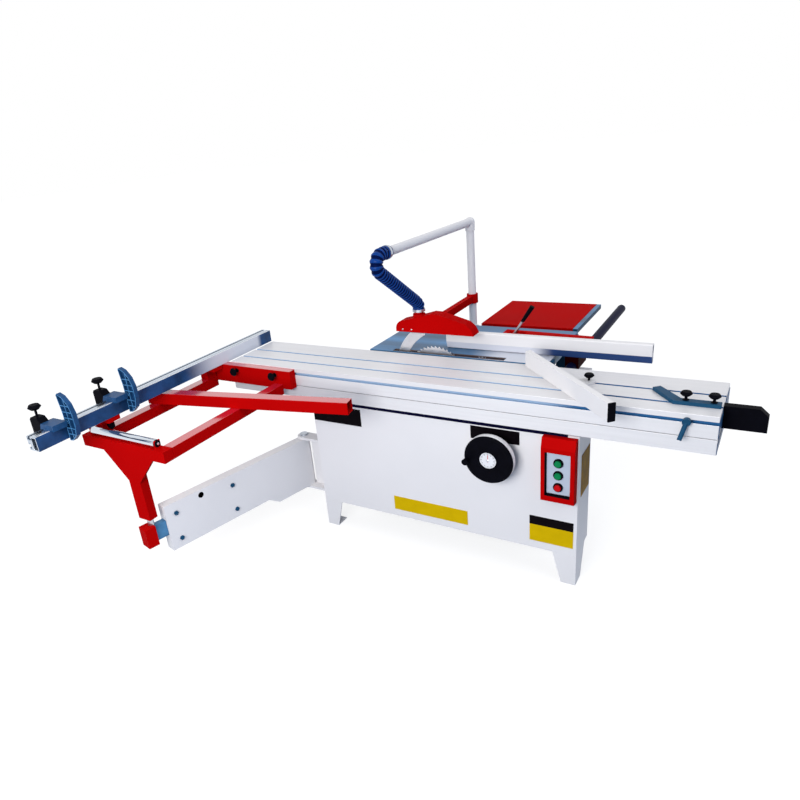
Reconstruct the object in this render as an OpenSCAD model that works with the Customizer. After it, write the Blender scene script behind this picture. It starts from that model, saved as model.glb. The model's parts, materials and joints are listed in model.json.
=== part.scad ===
/* [Base] */
// Height of the sliding table's top above the floor
table_h = 856; // [830:1:900]
// Width of the base cabinet
base_w = 1270; // [1200:1:1400]
// Depth of the base cabinet
base_d = 760; // [740:1:840]
// Depth of the wide front part of the cabinet
front_d = 172; // [165:1:185]
// Width of the narrower rear part of the cabinet
rear_w = 980; // [970:1:1000]
// Height of the saddles under the guide rail
saddle_h = 11; // [8:1:20]
// Height of the four legs
leg_h = 146; // [120:1:160]
// Thickness of the cabinet's sheet steel
sheet = 4; // [3:0.5:5]
// Width of a leg where it meets the cabinet
leg_top_w = 100; // [80:1:130]
// Width of a leg at the floor
leg_foot_w = 62; // [50:1:75]
// Radius of the floor anchor holes
anchor_r = 7; // [5:0.5:9]

/* [Sliding table] */
// Length of the sliding table and of its guide rail
car_len = 2200; // [2160:10:2400]
// Width of the sliding table
car_w = 335; // [325:1:338]
// Height of the sliding table's profile
car_h = 85; // [82:1:90]
// Height of the fixed guide rail
rail_h = 57; // [54:1:60]
// Overhang of the sliding table in front of the cabinet
car_over = 18; // [12:1:24]
// Mouth width of the clamping slots
slot_w = 12; // [10:0.5:14]
// Diameter of the rollers that carry the sliding table
roller_d = 20; // [18:0.5:22]

/* [Main table and fences] */
// Length of the cast main table along the cut
main_len = 890; // [880:5:900]
// Depth of the cast main table
main_d = 495; // [480:5:520]
// Length of the rip fence
rip_len = 923; // [850:5:1000]
// Height of the rip fence
rip_h = 83; // [70:1:90]
// Radius of the rip fence's guide bar
bar_r = 22; // [18:0.5:24]
// Length of the guide bar
bar_len = 1070; // [1040:5:1100]
// Length of the crosscut fence
cross_len = 1424; // [1400:2:1500]
// Width and height of the crosscut fence's profile
cross_w = 60; // [54:1:64]
// Length of the mitre fence
mitre_len = 650; // [600:2:680]
// Height of the mitre fence
mitre_h = 69; // [60:1:76]

/* [Outrigger] */
// Side of the square tubes
tube = 50; // [45:1:52]
// Distance between the two rails
rail_pitch = 425; // [400:5:450]
// Reach of the outrigger in front of the cabinet
reach = 825; // [815:1:850]
// Height of the swing arm
arm_h = 225; // [210:1:240]
// Thickness of the swing arm
arm_t = 50; // [46:1:54]

/* [Saw unit] */
// Diameter of the main blade
blade_d = 315; // [300:1:320]
// Teeth on the main blade
blade_teeth = 48; // [24:2:60]
// Height of the blade above the table at rest
blade_up = 34; // [30:1:65]
// Diameter of the scoring blade
score_d = 120; // [110:1:124]
// Diameter of the handwheel
wheel_d = 212; // [180:2:216]
// Radius of the dust pipe
pipe_r = 20; // [18:0.5:22]
// Ribs on the dust hose
hose_ribs = 30; // [24:1:40]

/* [Hidden] */
$fn = 48;
run = 0.05;
seat = 0.3;
wall = 3;
foot_d = 75;
front_y = -foot_d / 2;

// Sliding table and guide rail, seen in the plane across the travel
car_x0 = -car_len / 2;
car_y0 = -car_over;
car_z0 = table_h - car_h;
lift_off = 3;
rail_inset = 1;
rail_z0 = car_z0 - lift_off - rail_h;
base_h = rail_z0 - saddle_h;
deck = 22;
skin = 6;
tee_w = 2 * slot_w;
tee_h = 9;
web = 6;
slot_ys = [car_y0 + 87, car_y0 + 196];
front_slot_z = table_h - 27;
track_w = 60;
track_ys = [car_y0 + 88, car_y0 + 248];
track_up = 8;
track_down = roller_d - lift_off - track_up + 2 * 0.1;

// Main table and the blade
main_x0 = -490;
main_y0 = car_y0 + car_w + 18;
main_y1 = main_y0 + main_d;
main_top = table_h - 1;
main_t = 40;
main_z0 = main_top - main_t;
main_plate = 14;
main_under = main_top - main_plate;
skirt = 15;
blade_x = -140;
blade_y = main_y0 + 23;
blade_t = 3.2;
arbor_z = table_h + blade_up - blade_d / 2;
slot_x0 = blade_x - 225;
slot_x1 = blade_x + 344;
slot_y0 = main_y0 + 5;
slot_y1 = main_y0 + 43;
open_x0 = -420;
open_x1 = 330;

// Handwheel, its shaft and the lift
wheel_x = 290;
wheel_z = base_h - 125;
shaft_r = 10;
wheel_y = -66;
unit_y = base_d - 200;
unit_d = 60;
column_r = 15;
column_xs = [blade_x - 120, blade_x + 340];
beam_z0 = arbor_z - 68;
beam_h = 70;
gear_top = wheel_z + 35;
motor_z = arbor_z - 238;
motor_r = 80;
arbor_r = 15;
hub_r = 35;
pulley_y = unit_y + unit_d + 22;
pulley_w = 20;
pulley_a = 32;
pulley_m = 46;
belt_t = 8;
score_x = 95;
score_z = table_h + 2 - score_d / 2;
score_r = 38;

// Outrigger and swing arm
frame_z1 = table_h - 71;
frame_z0 = frame_z1 - tube;
frame_bar_t = 40;
frame_bar_z0 = table_h - 94;
frame_bar_h = 90;
rail_r_x = -775;
rail_l_x = rail_r_x - rail_pitch;
foot_x = rail_r_x - 200;
foot_y = -reach + tube / 2;
arm_z0 = 225;
arm_z1 = arm_z0 + arm_h;
pivot_x = -base_w / 2 - 130;
pivot_y = 60;
pivot_r = 12;
knuckle_r = 25;
knuckle_z0 = arm_z0 - 40;
arm_a = atan2(foot_y - pivot_y, foot_x - pivot_x);
arm_len = norm([foot_x - pivot_x, foot_y - pivot_y]);
arm_end = arm_len - 60;
arm_wall = 5;
inner_h = 75;
inner_w = 30;
inner_z0 = arm_z0 + 80;
inner_z1 = inner_z0 + inner_h;
head_u0 = arm_len - 4;
head_z1 = inner_z1 + 6;
leg_z0 = head_z1 + 39;
bracket_t = 12;

// Crosscut fence and its stops
cross_x1 = car_x0 - 20;
cross_x0 = cross_x1 - cross_w;
cross_z0 = table_h - 4;
cross_z1 = cross_z0 + cross_w;
cross_y1 = car_y0 + car_w + 14;
cross_y0 = cross_y1 - cross_len;
stop_ys = [cross_y0 + 142, cross_y0 + 442];
block_ys = [stop_ys[1] - 117, cross_y1 - 456];
flap_w = 20;
hinge_r = 5;
hinge_x = cross_x1 + 18;
hinge_z = cross_z1 + 13;

// Mitre fence on the sliding table
mitre_x = 618;
mitre_y = slot_ys[1];
mitre_a = -45.9;
mitre_back = 133;
mitre_t = 25;

// Rip fence and its guide bar
rip_x1 = 803;
rip_y = main_y0 + 105;
rip_t = 28;
rip_z0 = main_top + 3;
bar_x = main_x0 + main_len + 70;
bar_z = main_top - 50;
bar_y0 = main_y0 + 45;
ext_x0 = -118;
ext_x1 = 363;
ext_y0 = main_y1 + 40;
ext_d = 473;
ext_t = 30;

// Guard hood and dust pipe
hood_z0 = table_h + 105;
hood_w = 66;
hood_top = hood_z0 + 100;
pipe_wall = 2;
post_x = -160;
post_y = main_y1 + 32;
duct_z = table_h + 524;
duct_end = [-206, 80];
spigot_x = -213;
spigot_top = hood_z0 + 108;

// Control box
box_w = 135;
box_x1 = base_w / 2 - 5;
box_x0 = box_x1 - box_w;
box_z0 = base_h - 294;
box_z1 = base_h - 8;
box_t = 40;
plate_y = -20;
button_r = 13.5;
button_x = box_x1 - 69;
button_zs = [base_h - 117, base_h - 171, base_h - 225];

// Everything is laid out from the cabinet's front face, then moved back to the front floor anchors
module place() {
    translate([0, front_y, 0]) children();
}

module box(lo, hi) {
    translate(lo) cube(hi - lo);
}

// Outline in Y and Z, drawn out along X
module along_x(x0, len) {
    translate([x0, 0, 0]) rotate([90, 0, 90]) linear_extrude(len) children();
}

// Outline in X and Z, drawn out along Y
module along_y(y0, len) {
    translate([0, y0 + len, 0]) rotate([90, 0, 0]) linear_extrude(len) children();
}

// Rod along Y, and rod along X
module rod_y(x, z, r, y0, y1) {
    translate([x, y0, z]) rotate([-90, 0, 0]) cylinder(r = r, h = y1 - y0);
}

module rod_x(y, z, r, x0, x1) {
    translate([x0, y, z]) rotate([0, 90, 0]) cylinder(r = r, h = x1 - x0);
}

module rod_z(x, y, r, z0, z1) {
    translate([x, y, z0]) cylinder(r = r, h = z1 - z0);
}

// Clamping slot cut in the plane of a profile: mouth at the origin, opening upwards
module tee_slot() {
    translate([-slot_w / 2, -skin - tee_h / 2]) square([slot_w, skin + tee_h]);
    translate([-tee_w / 2, -skin - tee_h]) square([tee_w, tee_h]);
}

// Round clamping knob on its stem, standing along Z from the origin
module knob(r, stem) {
    knob_h = 0.8 * r;
    cylinder(r = hinge_r, h = stem);
    translate([0, 0, stem]) cylinder(r1 = 0.6 * r, r2 = r, h = knob_h / 2);
    translate([0, 0, stem + knob_h / 2]) cylinder(r1 = r, r2 = 0.75 * r, h = knob_h / 2);
}

// Base cabinet
module cabinet_front() color("white") place()
    difference() {
        box([-base_w / 2, 0, leg_h], [base_w / 2, sheet, base_h]);
        rod_y(wheel_x, wheel_z, shaft_r + run, -1, sheet + 1);
    }

// Side sheets of the wide front part and of the narrower rear part, with the returns between them
module cabinet_sides() color("white") place() {
    rear_y = base_d - sheet;
    for (mx = [0, 1])
        mirror([mx, 0, 0]) {
            box([base_w / 2 - sheet, sheet, leg_h], [base_w / 2, front_d - sheet - run, base_h]);
            box([rear_w / 2 - sheet, front_d - sheet, leg_h], [base_w / 2, front_d, base_h]);
            box([rear_w / 2 - sheet, front_d + run, leg_h], [rear_w / 2, rear_y - run, base_h]);
        }
    box([-rear_w / 2, rear_y, leg_h], [rear_w / 2, base_d, base_h]);
}

// Level sheet that fills the cabinet's plan
module deck_sheet(z0, z1) {
    wide = base_w / 2 - sheet;
    narrow = rear_w / 2 - sheet;
    box([-wide, sheet, z0], [wide, front_d - sheet, z1]);
    box([-narrow, sheet, z0], [narrow, base_d - sheet, z1]);
}

module cabinet_decks() color("white") place() {
    frame_z = base_h - 2 * sheet;
    deck_sheet(leg_h, leg_h + sheet);
    difference() {
        deck_sheet(frame_z, base_h);
        box([open_x0, main_y0 - 5, frame_z - 1], [open_x1, base_d - 40, base_h + 1]);
    }
}

// Folded corner leg at the front right, with its foot plate
module leg(edge, side_top) {
    leg_t = sheet + 1;
    difference() {
        union() {
            along_y(0, leg_t)
                polygon([[edge - leg_top_w, leg_h], [edge, leg_h], [edge, 0], [edge - leg_foot_w, 0]]);
            along_x(edge - leg_t, leg_t)
                polygon([[0, leg_h], [side_top, leg_h], [foot_d, 0], [0, 0]]);
            box([edge - leg_foot_w, 0, 0], [edge, foot_d, leg_t]);
        }
        rod_z(edge - leg_foot_w / 2, foot_d / 2, anchor_r, -1, leg_t + 1);
    }
}

module legs() color("white") place()
    for (mx = [0, 1])
        mirror([mx, 0, 0]) {
            leg(base_w / 2, front_d - 44);
            translate([0, base_d, 0]) mirror([0, 1, 0]) leg(rear_w / 2, front_d - 44);
        }

// Saddles under the guide rail and posts under the main table
module support_blocks() color("gainsboro") place() {
    saddle_pitch = 360;
    saddle_w = 80;
    post_w = 60;
    for (i = [-1.5 : 1.5])
        translate([i * saddle_pitch, 0, 0])
            box([-saddle_w / 2, 15, base_h], [saddle_w / 2, abs(i) > 1 ? front_d - 10 : car_w - 40, rail_z0]);
    for (x = [open_x0 - post_w - 5, open_x1 + 5])
        for (y = [main_y0 + 20, base_d - post_w - 10])
            box([x, y, base_h], [x + post_w, y + post_w, main_z0]);
}

// Hollow chambers of a profile between two heights
module chambers(y0, y1, z0, z1, count) {
    pitch = (y1 - y0 + web) / count;
    for (i = [0 : count - 1])
        translate([y0 + i * pitch, z0]) square([pitch - web, z1 - z0]);
}

module guide_rail() color("white") place()
    along_x(car_x0, car_len)
        difference() {
            rail_y0 = car_y0 + rail_inset;
            rail_y1 = car_y0 + car_w - rail_inset;
            translate([rail_y0, rail_z0]) square([rail_y1 - rail_y0, rail_h]);
            chambers(rail_y0 + web, rail_y1 - web, rail_z0 + web, rail_z0 + rail_h - track_down - web, 3);
            for (y = track_ys)
                translate([y - track_w / 2, rail_z0 + rail_h - track_down]) square([track_w, track_down + 1]);
        }

module carriage() color("white") place()
    along_x(car_x0, car_len)
        difference() {
            translate([car_y0, car_z0]) square([car_w, car_h]);
            chambers(car_y0 + deck, car_y0 + car_w - web, car_z0 + track_up + web, table_h - deck, 3);
            for (y = track_ys)
                translate([y - track_w / 2, car_z0 - 1]) square([track_w, track_up + 1]);
            for (y = slot_ys)
                translate([y, table_h]) tee_slot();
            translate([car_y0, front_slot_z]) rotate(90) tee_slot();
        }

// Two strips of rollers between the rail and the sliding table
module roller_cage() color("silver") place() {
    cage_len = 1000;
    cage_t = 2;
    count = 6;
    roller_l = 44;
    z = car_z0 + track_up - 0.1 - roller_d / 2;
    pitch = cage_len / count;
    window = roller_d + 2 * seat;
    for (y = track_ys) {
        difference() {
            box([-cage_len / 2, y - track_w / 2 + 2, z - cage_t / 2],
                [cage_len / 2, y + track_w / 2 - 2, z + cage_t / 2]);
            for (i = [0 : count - 1])
                translate([(i - (count - 1) / 2) * pitch, y, z])
                    cube([window, roller_l + 2 * seat, 2 * cage_t], center = true);
        }
        for (i = [0 : count - 1])
            rod_y((i - (count - 1) / 2) * pitch, z, roller_d / 2, y - roller_l / 2, y + roller_l / 2);
    }
}

// Cast main table, ribbed underneath, with the slot for the blades
module main_table() color("slategray") place() {
    x1 = main_x0 + main_len;
    rib_t = 12;
    difference() {
        box([main_x0, main_y0, main_z0], [x1, main_y1, main_top]);
        difference() {
            box([main_x0 + skirt, main_y0 + skirt, main_z0 - 1], [x1 - skirt, main_y1 - skirt, main_under]);
            for (y = [main_y1 - 148, main_y1 - 80])
                box([main_x0, y, main_z0 - 2], [x1, y + rib_t, main_top]);
            box([-20, main_y1 - 148, main_z0 - 2], [-20 + rib_t, main_y1, main_top]);
        }
        box([slot_x0, slot_y0, main_z0 - 1], [slot_x1, slot_y1, main_top + 1]);
    }
}

// Pressed steel extension table behind the main table
module extension_table() color("firebrick") place()
    difference() {
        box([ext_x0, ext_y0, main_top - ext_t], [ext_x1, ext_y0 + ext_d, main_top]);
        box([ext_x0 + wall, ext_y0 + wall, main_top - ext_t - 1],
            [ext_x1 - wall, ext_y0 + ext_d - wall, main_top - wall]);
    }

// Arms under the extension table, the trim along its edge, and the saddles that hold the guide bar
module table_brackets() color("dimgray") place() {
    arm_w = 40;
    arm_top = main_top - ext_t;
    plate = 10;
    bracket_w = 34;
    saddle_z = bar_z - bar_r + 4;
    trim = 23;
    edge = main_x0 + main_len;
    box([ext_x1, ext_y0, main_top - trim - 1], [ext_x1 + trim, ext_y0 + ext_d, main_top - 1]);
    for (x = [ext_x0 + 90, ext_x1 - 130])
        box([x, main_y1, arm_top - arm_w], [x + arm_w, ext_y0 + ext_d - 20, arm_top]);
    for (y = [bar_y0 + 10, main_y1 - 60])
        difference() {
            along_y(y, bracket_w)
                polygon([
                    [edge, saddle_z - plate - 4], [bar_x + bar_r, saddle_z - plate - 4],
                    [bar_x + bar_r, saddle_z], [edge + plate, saddle_z],
                    [edge + plate, main_top - 5], [edge, main_top - 5]
                ]);
            rod_y(bar_x, bar_z, bar_r + run, y - 1, y + bracket_w + 1);
        }
}

module fence_bar() color("midnightblue") place()
    rod_y(bar_x, bar_z, bar_r, bar_y0, bar_y0 + bar_len);

// Upright dust pipe, closed except for the hose socket at its foot
module dust_post() color("white") place() {
    foot_z = table_h - 216;
    socket = 60;
    difference() {
        union() {
            rod_z(post_x, post_y, pipe_r, foot_z, duct_z - 25);
            box([post_x - 30, main_y1, main_z0 - 25], [post_x + 30, post_y, main_top - 5]);
        }
        rod_z(post_x, post_y, pipe_r - pipe_wall, foot_z - 1, foot_z + socket);
    }
}

// Elbow and boom of the dust pipe
module dust_duct() color("white") place() {
    start = [post_x, post_y];
    run_len = norm(duct_end - start);
    run_a = atan2(duct_end[1] - start[1], duct_end[0] - start[0]);
    collar = pipe_r + 4;
    difference() {
        union() {
            translate([post_x, post_y, duct_z]) sphere(r = collar);
            rod_z(post_x, post_y, collar, duct_z - 42, duct_z);
            translate([post_x, post_y, duct_z]) rotate([0, 90, run_a]) cylinder(r = pipe_r, h = run_len);
        }
        rod_z(post_x, post_y, pipe_r + run, duct_z - 43, duct_z - 25);
        translate([duct_end[0], duct_end[1], duct_z]) rotate([0, -90, run_a])
            translate([0, 0, -1]) cylinder(r = pipe_r - pipe_wall, h = 60);
    }
}

// Centre line of the dust hose: along the boom, round a tight bend, and slanting down to the hood
hose_r = pipe_r + 9;
bend_r = 38;
bend_y = duct_end[1] - 34;
bend_out = 234;
boom_way = (duct_end - [post_x, post_y]) / norm(duct_end - [post_x, post_y]);
slant_0 = [duct_end[0] - 2, bend_y + bend_r * cos(bend_out), duct_z - bend_r + bend_r * sin(bend_out)];
slant_1 = [spigot_x + 1, blade_y - 56, spigot_top + 60];
slant_steps = 14;
hose_pts = concat(
    [for (d = [-30, 0, 12]) [each duct_end + d * boom_way, duct_z]],
    [
        for (a = [90 : 36 : bend_out - 1])
            [slant_0[0], bend_y + bend_r * cos(a), duct_z - bend_r + bend_r * sin(a)]
    ],
    [for (i = [0 : slant_steps]) slant_0 + (slant_1 - slant_0) * i / slant_steps],
    [[spigot_x, blade_y - 35, spigot_top + 47], [spigot_x, blade_y - 15, spigot_top + 32]],
    [for (d = [14, 0, -14]) [spigot_x, blade_y, spigot_top + d]]
);

function spline(p0, p1, p2, p3, t) =
    0.5 * (2 * p1 + (p2 - p0) * t + (2 * p0 - 5 * p1 + 4 * p2 - p3) * t * t
        + (3 * p1 - p0 - 3 * p2 + p3) * t * t * t);

function clamped(i) = hose_pts[max(0, min(len(hose_pts) - 1, i))];

function hose_at(s) =
    let (last = len(hose_pts) - 1, u = s * last, i = min(last - 1, floor(u)))
    spline(clamped(i - 1), clamped(i), clamped(i + 1), clamped(i + 2), u - i);

function unit(v) = v / norm(v);

function hose_ring(s, r, sides) =
    let (
        step = 0.002,
        t = unit(hose_at(min(1, s + step)) - hose_at(max(0, s - step))),
        n = unit(cross(t, [1, 0, 0])),
        b = cross(n, t)
    )
    [for (k = [0 : sides - 1]) hose_at(s) + r * (n * cos(360 * k / sides) + b * sin(360 * k / sides))];

module dust_hose() color("royalblue") place() {
    sides = 12;
    rings = 2 * hose_ribs + 1;
    bore = pipe_r / cos(180 / sides) + 0.4;
    valley = hose_r - 4;
    outer = [for (j = [0 : rings - 1]) hose_ring(j / (rings - 1), (j % 2 == 1) ? hose_r : valley, sides)];
    inner = [for (j = [0 : rings - 1]) hose_ring(j / (rings - 1), bore, sides)];
    points = concat([for (ring = outer) each ring], [for (ring = inner) each ring]);
    shift = rings * sides;
    last = (rings - 1) * sides;
    faces = [
        for (j = [0 : rings - 2])
            for (k = [0 : sides - 1])
                let (a = j * sides + k, b = j * sides + (k + 1) % sides)
                each [
                    [a, a + sides, b], [b, a + sides, b + sides],
                    [a + shift, b + shift, a + sides + shift],
                    [b + shift, b + sides + shift, a + sides + shift]
                ],
        for (k = [0 : sides - 1])
            let (b = (k + 1) % sides)
            each [
                [k, b, k + shift], [b, b + shift, k + shift],
                [last + k, last + k + shift, last + b], [last + b, last + k + shift, last + b + shift]
            ]
    ];
    polyhedron(points, faces);
}

// Collar on the post, with the arm that carries the hood
module hood_arm() color("firebrick") place() {
    collar_z = hood_z0 + 7;
    collar_h = 48;
    arm_w = 30;
    difference() {
        union() {
            rod_z(post_x, post_y, pipe_r + 9, collar_z, collar_z + collar_h);
            box([post_x - arm_w / 2, blade_y + hood_w / 2, collar_z + 6],
                [post_x + arm_w / 2, post_y, collar_z + collar_h - 6]);
        }
        rod_z(post_x, post_y, pipe_r + run, collar_z - 1, collar_z + collar_h + 1);
    }
}

// Side view of the hood: round nose at the back of the cut, crown, and sloping front
function hood_outline(t) = concat(
    [[-325 + t, hood_z0 - 1], [-325 + t, hood_z0 + 12]],
    [for (a = [170 : -16 : 106]) [-285 + (40 - t) * cos(a), hood_z0 + 14 + (40 - t) * sin(a)]],
    [[-240, hood_z0 + 66 - t], [-180, hood_z0 + 80 - t], [-140, hood_z0 + 92 - t], [-100, hood_z0 + 90 - t]],
    [[32 - t / 2, hood_z0 + 52 - t], [57 - t, hood_z0 + 30 - t]],
    [[70 - 1.5 * t, hood_z0 + 6], [70 - 1.5 * t, hood_z0 - 1]]
);

module blade_hood() color("red") place() {
    y0 = blade_y - hood_w / 2;
    difference() {
        union() {
            intersection() {
                along_y(y0, hood_w) polygon(hood_outline(0));
                box([-400, y0, hood_z0], [200, y0 + hood_w, hood_top]);
            }
            rod_z(spigot_x, blade_y, pipe_r + 9, hood_z0 + 55, hood_z0 + 84);
            rod_z(spigot_x, blade_y, pipe_r, hood_z0 + 60, spigot_top);
        }
        along_y(y0 + wall, hood_w - 2 * wall) polygon(hood_outline(wall));
        rod_z(spigot_x, blade_y, pipe_r - pipe_wall, hood_z0 + 50, spigot_top + 1);
    }
}

// Red control box with a window for the button plate
module control_box() color("red") place()
    difference() {
        along_x(box_x0, box_x1 - box_x0)
            polygon([
                [0, box_z0], [-box_t, box_z0 + 8], [-box_t, box_z1 - 42], [-box_t + 14, box_z1], [0, box_z1]
            ]);
        box([box_x0 + 16, -box_t - 1, box_z0 + 32], [box_x1 - 18, plate_y, box_z1 - 60]);
        box([box_x0 + 19, plate_y - 1, box_z0 + 35], [box_x1 - 21, -4, box_z1 - 63]);
    }

module control_plate() color("lightgray") place()
    difference() {
        union() {
            box([box_x0 + 19.2, plate_y, box_z0 + 35.2], [box_x1 - 21.2, plate_y + 4, box_z1 - 63.2]);
            for (z = button_zs)
                rod_y(button_x, z, button_r + 6, plate_y - 7, plate_y);
        }
        for (z = button_zs)
            rod_y(button_x, z, button_r + seat, plate_y - 8, plate_y + 5);
    }

module button(z) {
    place() rod_y(button_x, z, button_r, plate_y - 14, plate_y + 8);
}

module start_button() color("green") button(button_zs[0]);
module scoring_button() color("green") button(button_zs[1]);
module stop_button() color("red") button(button_zs[2]);

// Hinge plates on the cabinet's left side, with the pin between them
module hinge_brackets() color("white") place() {
    gap = 0.4;
    tops = [knuckle_z0 - gap - bracket_t, arm_z1 + gap];
    for (z = tops)
        difference() {
            union() {
                rod_z(pivot_x, pivot_y, knuckle_r + 8, z, z + bracket_t);
                box([pivot_x, pivot_y - knuckle_r - 8, z],
                    [-base_w / 2, pivot_y + knuckle_r + 8, z + bracket_t]);
                box([-base_w / 2 - bracket_t, pivot_y - knuckle_r - 8, z - 30],
                    [-base_w / 2, pivot_y + knuckle_r + 8, z + bracket_t + 30]);
            }
            rod_z(pivot_x, pivot_y, pivot_r + run, z - 1, z + bracket_t + 1);
        }
    box([pivot_x + knuckle_r + 5, pivot_y + 12, tops[0]],
        [-base_w / 2, pivot_y + knuckle_r + 8, tops[1] + bracket_t]);
    rod_z(pivot_x, pivot_y, pivot_r, tops[0] - 10, tops[1] + bracket_t);
    rod_z(pivot_x, pivot_y, pivot_r + 8, tops[1] + bracket_t, tops[1] + bracket_t + 10);
}

// Local frame of the swing arm: X runs out from the hinge
module on_arm() {
    translate([pivot_x, pivot_y, 0]) rotate(arm_a) children();
}

axle_us = [arm_end - 350, arm_end - 50];
upper_z = inner_z1 + 18;
lower_z = inner_z0 - 36;
axle_r = 6;

module swing_arm() color("white") place() on_arm()
    difference() {
        union() {
            translate([0, -arm_t / 2, 0])
                along_y(0, arm_t)
                    polygon([
                        [0, knuckle_z0], [230, knuckle_z0], [290, arm_z0],
                        [arm_end, arm_z0], [arm_end, arm_z1], [0, arm_z1]
                    ]);
            rod_z(0, 0, knuckle_r, knuckle_z0, arm_z1);
        }
        rod_z(0, 0, pivot_r + run, knuckle_z0 - 1, arm_z1 + 1);
        box([knuckle_r + 10, -arm_t / 2 + arm_wall, arm_z0 + arm_wall],
            [arm_end - arm_wall, arm_t / 2 - arm_wall, arm_z1 - arm_wall]);
        box([arm_end - arm_wall - 1, -inner_w / 2 - 1, inner_z0 - 1],
            [arm_end + 1, inner_w / 2 + 1, inner_z1 + 1]);
        for (u = axle_us)
            for (z = [upper_z, lower_z])
                rod_y(u, z, axle_r + run, -arm_t, arm_t);
        rod_y(arm_end - 185, arm_z1 - 26, 14, -arm_t, arm_t);
    }

// Rollers inside the arm, each on its axle bolt
module arm_rollers() color("dimgray") place() on_arm()
    for (u = axle_us) {
        roller(u, upper_z, upper_z - inner_z1 - seat);
        roller(u, lower_z, inner_z0 - lower_z - seat);
    }

module roller(u, z, r) {
    head = 11;
    rod_y(u, z, r, -inner_w / 2, inner_w / 2);
    rod_y(u, z, axle_r, -arm_t / 2, arm_t / 2);
    for (side = [-1, 1])
        translate([u, side * arm_t / 2, z]) rotate([-90 * side, 0, 0]) cylinder(r = head, h = 7, $fn = 6);
}

module arm_bar() color("silver") place() on_arm()
    difference() {
        box([60, -inner_w / 2, inner_z0], [arm_len + 34, inner_w / 2, inner_z1]);
        box([59, -inner_w / 2 + wall, inner_z0 + wall], [arm_len + 35, inner_w / 2 - wall, inner_z1 - wall]);
    }

// Red head at the end of the arm bar, under the outrigger's foot
module arm_head() color("red") place() on_arm()
    difference() {
        box([head_u0, -inner_w, inner_z0 - 12], [arm_len + 46, inner_w, head_z1]);
        box([head_u0 - 1, -inner_w / 2 - 0.1, inner_z0 - 0.1],
            [arm_len + 34.2, inner_w / 2 + 0.1, inner_z1 + 0.1]);
    }

// Square tube along X or Y between two corners, open at its ends
module tube_y(x, y0, y1, z0) {
    difference() {
        box([x - tube / 2, y0, z0], [x + tube / 2, y1, z0 + tube]);
        box([x - tube / 2 + wall, y0 - 1, z0 + wall], [x + tube / 2 - wall, y1 + 1, z0 + tube - wall]);
    }
}

module outrigger_bar() color("red") place()
    difference() {
        y0 = car_y0 - frame_bar_t;
        x0 = rail_l_x - 35;
        x1 = rail_r_x + 75;
        box([x0, y0, frame_bar_z0], [x1, car_y0, frame_bar_z0 + frame_bar_h]);
        box([x0 - 1, y0 + wall, frame_bar_z0 + wall],
            [x1 - wall, car_y0 - wall, frame_bar_z0 + frame_bar_h - wall]);
        for (x = knob_xs)
            rod_y(x, front_slot_z, hinge_r + 0.5, y0 - 1, car_y0 + 1);
    }

knob_xs = [rail_l_x + 170, rail_r_x - 15];

module outrigger_rails() color("red") place()
    for (x = [rail_l_x, rail_r_x])
        tube_y(x, -reach + tube, car_y0 - frame_bar_t, frame_z0);

// End beam with its gusset and leg, the foot pin and the roller's end plates
module outrigger_beam() color("red") place() {
    x0 = rail_l_x - 50;
    x1 = rail_r_x + tube / 2;
    leg_w = 70;
    leg_d = 42;
    flare = 150;
    flare_z = frame_z0 - 125;
    gusset_t = 10;
    difference() {
        box([x0, -reach, frame_z0], [x1, -reach + tube, frame_z1]);
        box([x0 - 1, -reach + wall, frame_z0 + wall], [x1 - wall, -reach + tube - wall, frame_z1 - wall]);
    }
    along_y(-reach, gusset_t)
        polygon([
            [foot_x - flare, frame_z0], [foot_x + flare, frame_z0],
            [foot_x + leg_w / 2, flare_z], [foot_x - leg_w / 2, flare_z]
        ]);
    box([foot_x - leg_w / 2, -reach, leg_z0], [foot_x + leg_w / 2, -reach + leg_d, frame_z0]);
    rod_z(foot_x, foot_y, 14, head_z1 + seat, leg_z0 + 1);
    for (x = roller_ends)
        difference() {
            box([x - 3, -reach + 10, frame_z1 - 1], [x + 3, -reach + tube - 10, roller_z + 14]);
            rod_x(foot_y, roller_z, axle_r + run, x - 4, x + 4);
        }
}

roller_r = 17;
roller_z = frame_z1 + roller_r + 4;
roller_ends = [rail_l_x + 2, rail_r_x - 28];

module support_roller() color("silver") place() {
    rod_x(foot_y, roller_z, roller_r, roller_ends[0] + 5, roller_ends[1] - 5);
    rod_x(foot_y, roller_z, axle_r, roller_ends[0] - 8, roller_ends[1] + 8);
}

// Loose support bar that lies across both rails, cut at an angle at its far end
module cross_bar() color("red") place() {
    side = 54;
    len = 1015;
    skew = 10.7;
    translate([rail_l_x - 36, -0.56 * reach, frame_z1]) rotate(skew)
        difference() {
            box([0, 0, 0], [len, side, side]);
            box([-1, wall, wall], [len + 1, side - wall, side - wall]);
            rotate(-52) box([-2 * side, -side, -1], [0, 2 * side, side + 1]);
        }
}

// Blocks that carry the crosscut fence on the left rail
module fence_blocks() color("red") place()
    for (y = block_ys)
        difference() {
            box([rail_l_x - 22, y, frame_z1], [cross_x1 - 4, y + 62, cross_z0]);
            box([rail_l_x + tube / 2, y - 1, frame_z1 - 1], [cross_x1, y + 63, cross_z0 - 22]);
        }

module crosscut_fence() color("silver") place()
    along_y(cross_y0, cross_len)
        difference() {
            core = 14;
            translate([cross_x0, cross_z0]) square([cross_w, cross_w]);
            translate([cross_x0 + 16, cross_z1]) tee_slot();
            translate([cross_x0, cross_z0 + 18]) rotate(90) tee_slot();
            translate([cross_x1 - core - 16, cross_z0 + 5]) square([core + 11, cross_w - 10]);
            for (x = [cross_x1 - 12, cross_x1 - 20])
                translate([x, cross_z1 - 1.5]) square([3, 3]);
        }

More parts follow.
